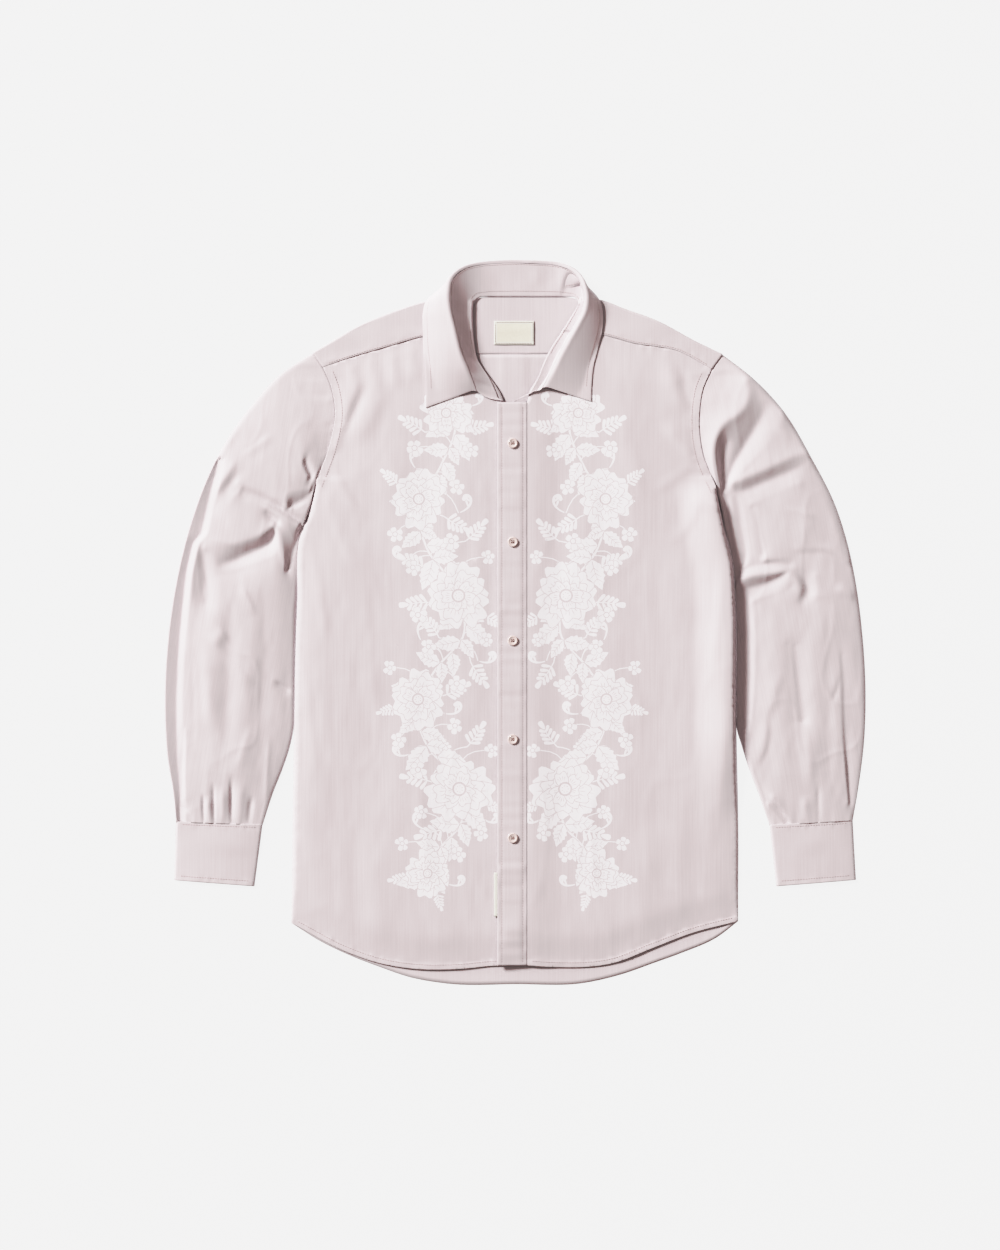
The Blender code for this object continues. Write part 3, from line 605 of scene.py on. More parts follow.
# White garland print: own design of blooms, leaves and tendrils on a waving stem
garland = {"stemWidth": 2.3, "gap": 0.8, "vein": 0.8, "mirrorAt": -3.2, "leafStep": 17.5, "leafTurn": 0.95}
garlandStem = [
    (80, 262), (62, 222), (78, 178), (104, 132), (94, 84), (60, 36), (52, -14), (84, -54), (106, -96),
    (94, -140), (60, -180), (54, -226), (82, -262), (98, -304),
]
# blooms: x, y, size, turn, petals; sprigs and tendrils: x, y, turn in degrees, size and the scroll's hand
blooms = [
    (72, 238, 27, 0.3, 7), (103, 140, 31, 1.1, 8), (58, 30, 35, 0.0, 9), (104, -88, 31, 0.7, 8),
    (57, -190, 36, 1.9, 9), (93, -286, 25, 0.5, 7),
]
smallBlooms = [
    (44, 196, 9, 0.2, 5), (108, 198, 10, 0.9, 5), (60, 154, 9, 0.5, 5), (130, 100, 9, 0.1, 5),
    (66, 92, 10, 1.3, 5),
    (110, 62, 9, 0.7, 5), (24, 74, 8, 0.4, 5), (104, 8, 10, 0.2, 5), (26, -20, 8, 1.0, 5),
    (92, -28, 9, 0.6, 5),
    (60, -70, 10, 0.3, 5), (136, -52, 8, 0.8, 5), (62, -118, 9, 1.1, 5), (126, -134, 9, 0.5, 5),
    (20, -146, 8, 0.1, 5),
    (104, -168, 10, 0.9, 5), (100, -216, 8, 0.3, 5), (32, -240, 9, 1.2, 5), (58, -264, 9, 0.7, 5),
    (122, -252, 8, 0.2, 5),
]
tendrilSpots = [
    (106, 174, 50, 28, 1), (58, 124, 160, 28, -1), (114, 70, 0, 27, 1), (36, -44, 200, 26, -1),
    (100, -22, 60, 28, 1),
    (74, -104, 190, 26, -1), (112, -150, -20, 26, 1), (32, -222, 220, 26, -1), (96, -236, 20, 26, 1),
    (70, -298, 200, 24, -1), (44, 246, 170, 22, -1),
]
sprigSpots = [
    (50, 220, 165, 24), (96, 216, 25, 26), (126, 156, 35, 20), (74, 120, 205, 26), (50, 92, 130, 26),
    (94, 60, 20, 28),
    (28, 8, 205, 20), (88, 22, -10, 28), (44, -46, 230, 26), (80, -18, 50, 24), (76, -84, 150, 26),
    (128, -98, -20, 18),
    (88, -130, 215, 24), (48, -142, 120, 26), (88, -182, 5, 28), (28, -206, 195, 18), (72, -236, -20, 28),
    (112, -292, -10, 20), (82, -308, 250, 16),
]


def placed(outline, turn, spot):
    c, s = math.cos(turn), math.sin(turn)
    return outline @ np.array([[c, s], [-s, c]]) + spot


def petalShape(spot, turn, length, width, count):
    # a rounded petal from its foot at the spot, pointing along turn in radians
    u = np.linspace(0, math.pi, count // 2 + 1)
    along = (1 - np.cos(u)) / 2
    across = np.sin(u) ** 0.62 * (0.45 + 0.55 * along) * width / 2
    upper = np.column_stack([along * length, across])
    return placed(np.vstack([upper, (upper * (1, -1))[-2:0:-1]]), turn, spot)


def grown(outline, by):
    centre = outline.mean(axis=0)
    away = outline - centre
    reach = np.linalg.norm(away, axis=1, keepdims=True)
    return centre + away * (1 + by / np.maximum(reach, by))


def ribbonShape(line, widths):
    run = np.gradient(line, axis=0)
    run /= np.linalg.norm(run, axis=1, keepdims=True)
    side = np.column_stack([-run[:, 1], run[:, 0]]) * np.asarray(widths)[:, None] / 2
    return np.vstack([line + side, (line - side)[::-1]])


def leafShapes(spot, turn, size):
    # a pointed, toothed leaf with a bare midrib and side veins
    u = np.linspace(0, 1, 19)
    half = size * 0.29 * np.sin(math.pi * u ** 0.75) * (1 + 0.13 * np.cos(u * 34))
    curve = 0.16 * size * u * u
    upper = np.column_stack([u * size, curve + half])
    lower = np.column_stack([u * size, curve - half])[-2:0:-1]
    blade = placed(np.vstack([upper, lower]), turn, spot)
    rib = np.column_stack([u[1:-3] * size, curve[1:-3]])
    bare = [ribbonShape(rib, np.linspace(1, 0.35, len(rib)) * garland["vein"])]
    for share in (0.26, 0.44, 0.62):
        for flank in (-1, 1):
            foot = np.array([share * size, 0.16 * size * share**2])
            tip = foot + np.array([0.15 * size, flank * 0.19 * size * math.sin(math.pi * share)])
            bare.append(ribbonShape(np.linspace(foot, tip, 4), [0.65, 0.6, 0.5, 0.2]))
    shapes = [(grown(blade, garland["gap"]), False), (blade, True)]
    return shapes + [(placed(line, turn, spot), False) for line in bare]


def bloomShapes(x, y, size, turn, petals):
    # rings of notched petals, each with a bare line round it, closing on a seeded heart
    shapes = []
    small = petals == 5
    rings = [(1.0, 0.95, petals), (0.74, 0.78, petals - 1), (0.48, 0.52, petals - 2)]
    if small:
        rings = [(1.0, 0.9, 5)]
    for ring, (reach, wide, count) in enumerate(rings):
        for n in range(count):
            angle = turn + ring * 0.37 + n * 2 * math.pi / count + 0.16 * math.sin(n * 2.3 + ring + size)
            long = size * reach * (1 + 0.1 * math.sin(n * 1.7 + size))
            petal = petalShape((x, y), angle, long, size * wide, 12 if small else 24)
            if not small:
                petal = frilled(petal, (x, y), angle, long)
            shapes += [(grown(petal, garland["gap"] * (0.7 if small else 1)), False), (petal, True)]
            for slip in () if small else (-0.2, -0.07, 0.07, 0.2):
                vein = np.array([[0.5, slip * 0.7], [0.7, slip * 1.1], [0.9 - abs(slip), slip * 1.4]]) * long
                shapes.append((placed(ribbonShape(vein, [0.2, 0.75, 0.15]), angle, (x, y)), False))
    circle = circlePoints(14)
    heart = 0.26 if small else 0.17
    shapes += [(circle * size * heart * 1.35 + (x, y), False), (circle * size * heart + (x, y), True)]
    for seed in () if small else circle[::2] * size * 0.1 + (x, y):
        shapes.append((circle[::2] * 0.6 + seed, False))
    return shapes


def frilled(petal, foot, angle, long):
    # a notch and two round lobes in the petal's outer rim
    away = petal - foot
    reach = np.linalg.norm(away, axis=1)
    aside = np.arctan2(away[:, 1], away[:, 0]) - angle
    aside = (aside + math.pi) % (2 * math.pi) - math.pi
    wave = 1 - 0.075 * np.cos(aside * 12) * easing(reach, long * 0.55, long * 0.9)
    return away * wave[:, None] + foot


def tendrilShapes(x, y, turn, size, hand):
    # a tapered scroll that ends in a drop
    u = np.linspace(0, 1, 26)
    angle = turn + hand * (u * 1.2 + 3.6 * u**2.2)
    step = size / len(u) * (1.9 - 1.2 * u)
    line = np.cumsum(np.column_stack([np.cos(angle) * step, np.sin(angle) * step]), axis=0) + (x, y)
    shapes = [(ribbonShape(line, 1.2 + 2.0 * np.sin(math.pi * u * 0.8)), True)]
    shapes.append((circlePoints(12) * 2.4 + line[-1], True))
    for share in (0.25, 0.42, 0.58):
        i = int(share * len(u))
        shapes.append((petalShape(line[i], angle[i] + hand * 1.1, size * 0.3, size * 0.12, 10), True))
    return shapes


def sprigShapes(x, y, turn, size):
    # a stalk with paired slips and a bud at its tip
    u = np.linspace(0, 1, 8)
    line = np.column_stack([u * size, 0.1 * size * np.sin(u * 2.2)])
    green = [ribbonShape(line, 1.4 - 0.5 * u)]
    for share in (0.2, 0.4, 0.6, 0.8):
        foot = (share * size, 0.1 * size * math.sin(share * 2.2))
        for flank in (-1, 1):
            lean = flank * (1.05 - 0.3 * share)
            green.append(petalShape(foot, lean, size * (0.5 - 0.22 * share), size * 0.19, 12))
    bud = petalShape((size * 0.94, 0.1 * size * math.sin(2.0)), 0.1, size * 0.42, size * 0.3, 14)
    bud = placed(bud, turn, (x, y))
    return [(placed(slip, turn, (x, y)), True) for slip in green] + [(grown(bud, 0.5), False), (bud, True)]


def stalkTo(stem, x, y, width):
    # a bowed stalk from the nearest point of the stem
    foot = stem[np.argmin(np.linalg.norm(stem - (x, y), axis=1))]
    run = np.array([x, y]) - foot
    u = np.linspace(0, 1, 7)[:, None]
    bow = np.array([-run[1], run[0]]) * 0.22 * np.sin(math.pi * u) * (1 if x > foot[0] else -1)
    line = foot + run * u + bow
    return ribbonShape(line, np.full(7, width)), True


def garlandShapes(side):
    # stem and greenery first, blooms on top; the wearer's right front has the mirror image
    stem = evenly(garlandStem, 130)
    shapes = [(ribbonShape(stem, np.full(len(stem), garland["stemWidth"])), True)]
    for x, y, turn, size, hand in tendrilSpots:
        shapes += [stalkTo(stem, x, y, 1.2), *tendrilShapes(x, y, math.radians(turn), size, hand)]
    for x, y, turn, size in sprigSpots:
        shapes += [stalkTo(stem, x, y, 1.3), *sprigShapes(x, y, math.radians(turn), size)]
    spots = evenly(stem, int(lengthOf(stem) / garland["leafStep"]) + 2)[1:-1]
    for k, (spot, run) in enumerate(zip(spots, np.gradient(spots, axis=0))):
        flank = 1 if k % 2 else -1
        turn = math.atan2(run[1], run[0]) + flank * garland["leafTurn"] * (1 + 0.2 * math.sin(k * 2.1))
        size = 31 + 5 * math.sin(k * 1.3)
        shapes += leafShapes(spot + np.array([math.cos(turn), math.sin(turn)]) * 1.5, turn, size)
        if k % 2:
            shapes += leafShapes(spot, turn - flank * 2.0, size * 0.8)
    for x, y, size, turn, petals in smallBlooms:
        shapes += [stalkTo(stem, x, y, 1.1), *bloomShapes(x, y, size, turn, petals)]
    for row in blooms:
        shapes += bloomShapes(*row)
    if side == "wearerLeft":
        return shapes
    return [(outline * (-1, 1) + (2 * garland["mirrorAt"], 0), white) for outline, white in shapes]


def inward(line, by, centre):
    # the same line moved towards a point inside
    run = np.gradient(line, axis=0)
    run /= np.linalg.norm(run, axis=1, keepdims=True)
    side = np.column_stack([-run[:, 1], run[:, 0]])
    flip = np.sign(((centre - line) * side).sum(axis=1, keepdims=True).mean())
    return line + side * flip * by


def buildFront(side, name, node):
    # a sheet with the print cut into it, so that cloth and print are faces of one mesh
    lines = frontLines[side]
    centreX, neckEnd, hemEnd = centreEdge[side], lines["neck"][-1], lines["hem"][-1]
    ys = np.arange(neckEnd[1], hemEnd[1], -body["edgeStep"])[1:]
    centre = [np.column_stack([np.full(len(ys), centreX), ys]), [[centreX, hemEnd[1]]]]
    hem = lines["hem"][::-1]
    if side == "wearerLeft":
        centre.insert(0, [[centreX, neckEnd[1]]])
    else:
        hem = hem[1:]
    seam = lines["seam"] + (0, body["yokeTuck"])
    outline = np.vstack([seam, lines["neck"][1:], *centre, hem, lines["edge"][::-1][1:-1]])
    bounds = np.vstack([outline, outline[:1]])
    middle = outline.mean(axis=0)
    low, high = outline.min(axis=0), outline.max(axis=0)
    step = body["grid"]
    grid = pointGrid(np.arange(low[0], high[0], step), np.arange(low[1], high[1], step))
    grid[1::2, :, 0] += step / 2
    grid = grid.reshape(-1, 2)
    grid = grid[insidePolygon(grid, outline)]
    grid = grid[distanceTo(grid, bounds) > step * 0.45]
    offsets = [inward(lines["hem"], d, middle) for d in (1.0, 5.4, 6.8)]
    offsets += [inward(lines["edge"], d, middle) for d in (0.7, 1.8, 3.4, 8.0, 9.8)]
    offsets = np.vstack([evenly(line, int(lengthOf(line) / body["edgeStep"])) for line in offsets])
    offsets = offsets[insidePolygon(offsets, outline)]
    offsets = offsets[distanceTo(offsets, bounds) > 0.5]
    shapes = garlandShapes(side)
    every = np.vstack([shape for shape, white in shapes])
    clear = insidePolygon(every, outline) & (distanceTo(every, bounds) > 1.0)
    parts = np.split(clear, np.cumsum([len(shape) for shape, white in shapes])[:-1])
    shapes = [row for row, part in zip(shapes, parts) if part.all()]
    rings, edges, count = [outline] + [shape for shape, white in shapes], [], 0
    for ring in rings:
        edges += [(count + i, count + (i + 1) % len(ring)) for i in range(len(ring))]
        count += len(ring)
    points = np.vstack(rings + [grid, offsets])
    cut = geometry.delaunay_2d_cdt([Vector(p) for p in points], edges, [], 0, 0.02, False)
    plan = np.array([tuple(v) for v in cut[0]])
    faces = np.array([f for f in cut[2] if len(f) == 3])
    centres = plan[faces].mean(axis=1)
    kept = insidePolygon(centres, outline)
    faces, centres = faces[kept], centres[kept]
    order = np.argsort(centres[:, 1])
    sortedY = centres[order, 1]
    white = np.zeros(len(faces), bool)
    for shape, isWhite in shapes:
        band = order[slice(*np.searchsorted(sortedY, [shape[:, 1].min(), shape[:, 1].max()]))]
        white[band[insidePolygon(centres[band], shape)]] = isWhite
    grid3 = lift(plan, frontTop(plan, side))
    piece = makeMesh(name, grid3, faces, ["body", "print"], white.astype(int), cloth["wall"])
    piece.modifiers["wall"].use_rim_only = True  # thickness at the cut edges alone
    print(name, len(faces), "faces, printed", int(white.sum()))
    return dressed(piece, node)


rightFront = buildFront("wearerRight", "rightFront", "front_right")
leftFront = buildFront("wearerLeft", "leftFront", "front_left")
print("fronts made")


def buildBack():
    # flat on the surface, with a box pleat under the yoke and a turned hem
    cols, rows = 110, 150
    edges = [evenly(bodyEdge(side, yokeShare["back"], 90), rows) for side in sides]
    seam = evenly([tuple(edges[0][0])] + backYokeSeam + [tuple(edges[1][0])], cols)
    plan = patchGrid(seam, evenly(backHem, cols), edges[0], edges[1])
    flat = plan.reshape(-1, 2)
    pleat = easing(flat[:, 0], -19.5, -17) * (1 - easing(flat[:, 0], 13, 15.5))
    pleat = pleat * (1 - 0.45 * np.exp(-(((flat[:, 0] + 4.5) / 1.8) ** 2))) * easing(flat[:, 1], 225, 296)
    hem = distanceTo(flat, evenly(backHem, 80))
    top = cloth["wall"] + 0.1 + 0.8 * pleat + 0.5 * easing(hem, 6.8, 5.6)
    inner = easing(flat[:, 1], 246, 262)
    top += inner * 0.3 * np.abs(softNoise(flat, (14, 60), 21))
    count = rows * cols
    rim = np.concatenate([
        np.arange(cols), np.arange(1, rows) * cols + cols - 1,
        (rows - 1) * cols + np.arange(cols - 2, -1, -1), np.arange(rows - 2, 0, -1) * cols,
    ])
    after = np.roll(rim, -1)
    rimFaces = np.column_stack([rim, after, after + count, rim + count])
    faces = gridFaces(rows, cols)
    faces = np.vstack([faces, faces[:, ::-1] + count, rimFaces])
    points = np.vstack([lift(flat, top), lift(flat, np.zeros(count))])
    return dressed(makeMesh("backPanel", points, faces, ["body"]), "back_panel")


back = buildBack()


yoke = {
    "cols": 70, "neckCols": 60, "rows": 26, "turnSteps": 8, "low": 0.15, "half": cloth["seamTop"] / 2 - 0.08,
}


def buildYoke():
    # flat behind the shoulder folds, then turned over them to the stitched edge on each front
    cols, rows, half = yoke["cols"], yoke["rows"], yoke["half"]
    turn = (0, cloth["shoulderTurn"])
    tops = [evenly(shoulder[side], cols) for side in sides]
    crests = np.vstack([tops[0] - turn, evenly(backNeck, yoke["neckCols"])[1:-1], tops[1][::-1] - turn])
    edges = [smoothCurve(armhole[side], np.linspace(0, yokeShare["back"], rows)) for side in sides]
    edges[0][0], edges[1][0] = crests[0], crests[-1]
    seam = evenly([tuple(edges[0][-1])] + backYokeSeam + [tuple(edges[1][-1])], len(crests))
    plan = patchGrid(crests, seam, edges[0], edges[1])[::-1].reshape(-1, 2)
    points = [lift(plan, np.full(len(plan), yoke["low"]))]
    faces = [gridFaces(rows, len(crests))[:, ::-1]]
    count = len(plan)
    for side, top, start in zip(sides, tops, (0, len(crests) - cols)):
        crest, front = top - turn, seamLine(side, cols)
        flap = patchGrid(crest, front, *[np.linspace(crest[k], front[k], rows) for k in (0, -1)])
        if side == "wearerLeft":
            top, crest, flap = top[::-1], crest[::-1], flap[:, ::-1]
        rings = []
        for k in range(1, yoke["turnSteps"]):
            angle = math.pi * k / yoke["turnSteps"]
            height = np.full(cols, half * (1 - math.cos(angle)) + yoke["low"])
            rings.append(lift(crest + (top - crest) * math.sin(angle), height))
        flat = flap.reshape(-1, 2)
        toSeam = distanceTo(flat, flap[-1])
        puff = 0.5 * softNoise(flat, (30, 18), 31) + puckerHeight(flat, toSeam, "yoke")
        rise = cloth["seamRise"] * easing(toSeam, 0.0, 1.2) * (1 - 0.4 * easing(toSeam, 0, 12))
        height = 2 * half + yoke["low"] + rise + np.maximum(puff, -0.3) * easing(toSeam, 0, 6)
        rings += list(lift(flap, height))
        previous = (rows - 1) * len(crests) + start
        for ring in rings:
            a, b = previous + np.arange(cols - 1), count + np.arange(cols - 1)
            faces.append(np.column_stack([a, a + 1, b + 1, b])[:, ::-1])
            points.append(ring)
            previous = count
            count += cols
    piece = makeMesh("yokePanel", np.vstack(points), np.vstack(faces), ["body"], None, cloth["wall"], 1)
    return dressed(piece, "yoke")


yokePiece = buildYoke()
print("back and yoke made")


def placketEdge(points):
    return np.minimum(points[:, 0] - placket["left"], placket["right"] - points[:, 0])


def placketTop(points):
    # a full thickness at the free edge, almost flush where it is sewn down, pulled into small puckers
    share = (placket["right"] - points[:, 0]) / (placket["right"] - placket["left"])
    rise = placket["rise"] * (0.16 + 0.84 * easing(share, 0.0, 0.3))
    low = easing(-points[:, 1], 240, 300) * softNoise(points, (90, 10), 42) * 0.7
    across = softNoise(points, (60, 7), 41) * placket["pucker"]
    return frontTop(points, "wearerLeft") + rise + (across + low) * easing(placketEdge(points), 0, 4)


def buildPlacket():
    # a strip on the left front, drawn in along its two rows of stitches
    ys = np.linspace(neckline["wearerLeft"][-1][1], frontHem["wearerLeft"][-1][1], 300)
    plan = pointGrid(np.linspace(placket["left"], placket["right"], 30), ys)
    flat = plan.reshape(-1, 2)
    height = placketTop(flat) - 0.22 * np.exp(-((placketEdge(flat) - 5) / 0.9) ** 2)
    return dressed(surface("placketStrip", lift(plan, height), ["body"], 0.8), "placket")


placketPiece = buildPlacket()

# Sleeves: flattened tubes whose upper side carries the folds
sleeveOuter = {
    "wearerRight": [
        (-230, 307), (-268, 282), (-295, 253), (-317, 225), (-344, 180), (-370, 113), (-385, 53),
        (-396, -20), (-399.5, -99), (-397, -148), (-389, -200), (-386.5, -228),
    ],
    "wearerLeft": [
        (236, 305), (272, 277), (304, 243), (339, 185), (365, 133), (378, 93), (388, 47),
        (395, -5), (399.5, -78), (398, -134), (391, -190), (384.7, -226.5),
    ],
}
sleeveFree = {
    "wearerRight": [(-257, -144), (-265, -168), (-275, -193), (-287.6, -231.5)],
    "wearerLeft": [(258, -140), (267.5, -170), (279, -200), (290, -232)],
}
sleeveLoft = {
    "wearerRight": [(0.0, 3.0), (0.12, 7.5), (0.35, 9.5), (0.6, 7.0), (0.85, 5.5), (1.0, 2.4)],
    "wearerLeft": [(0.0, 3.6), (0.1, 6.2), (0.25, 5.8), (0.4, 5.4), (0.6, 5.0), (0.85, 4.4), (1.0, 2.4)],
}
loftSkew = {"wearerRight": 1.0, "wearerLeft": 0.78}
sleeve = {
    "rings": 290, "across": 92, "crowd": 0.35, "spread": 0.10, "underLayer": 3.6, "round": 4.5, "rim": 1.4,
    "beside": 40, "gap": 0.03, "tuck": 0.9, "middle": 1.3, "wall": 0.4,
}
lowerShares = (0.01, 0.03, 0.06, 0.12, 0.3, 0.5, 0.7, 0.88, 0.94, 0.97, 0.99)  # across the under side
sleeveFolds = {
    "wearerRight": [
        (-330, 214, -290, 186, -1.2, 14), (-308, 190, -277, 212, 0.9, 5, 0.3),
        (-300, 10, -312, -180, 1.8, 16),
        (-340, 50, -346, -150, 1.6, 14), (-322, 20, -328, -140, -1.4, 9), (-282, 40, -290, -120, -1.0, 9),
        (-330, -10, -344, -26, 1.4, 8), (-352, -30, -346, -120, 1.2, 8),
        (-343, -186, -342, -231, -2.6, 2.2, 0.3, 0, 0.4),
        (-355, -198, -354, -231, -2.6, 2.0, 0, 0, 0.4), (-323, -180, -323, -231, -2.8, 2.6, -0.3, 0, 0.4),
        (-349, -200, -348, -231, 1.6, 4), (-333, -190, -332, -231, 2.0, 5), (-312, -184, -314, -231, 1.6, 6),
        (-300, -200, -304, -231, -1.6, 3), (-385, -204, -372, -216, -1.6, 3, 0, 0, 0.5),
        (-356, 60, -350, 20, 1.2, 4, 0.3, 0, 0.5), (-310, 40, -296, 10, 1.0, 5, 0.3, 0, 0.5),
        (-273, -68, -254, -80, -1.8, 4, 0.3, 0, 0.4), (-280, -130, -284, -210, 1.0, 4, 0, 0, 0.4),
        (-330, -40, -300, -70, 0.8, 6, 0.3), (-300, -120, -318, -170, 0.9, 6, -0.3),
    ],
    "wearerLeft": [
        (282, 200, 316, 250, 1.6, 16), (352, 84, 384, 66, 1.6, 8), (300, 0, 306, -180, 1.8, 16),
        (366, 40, 390, 28, 1.6, 6), (342, 10, 338, -190, 1.8, 14), (366, -40, 370, -170, 1.6, 8),
        (285, -110, 276, -160, 1.4, 6, 0.3, -4),
        (290, -206, 308, -231, 1.6, 4), (330, -200, 331, -231, 1.2, 5),
        (345, -186, 346, -231, -1.2, 3, 0, 0, 0.4),
        (320, 120, 352, 66, 1.2, 12, 0.2), (352, 150, 376, 90, 1.0, 10),
        (310, 130, 340, 120, 0.8, 4, 0.3, 0, 0.5),
        (290, 222, 330, 200, 0.8, 5, 0.3, 0, 0.5), (362, -90, 372, -60, -1.2, 4, 0.2, 0, 0.4),
        (300, -60, 286, -110, 1.0, 8, 0.2), (332, -120, 336, -190, 0.8, 6),
    ],
}
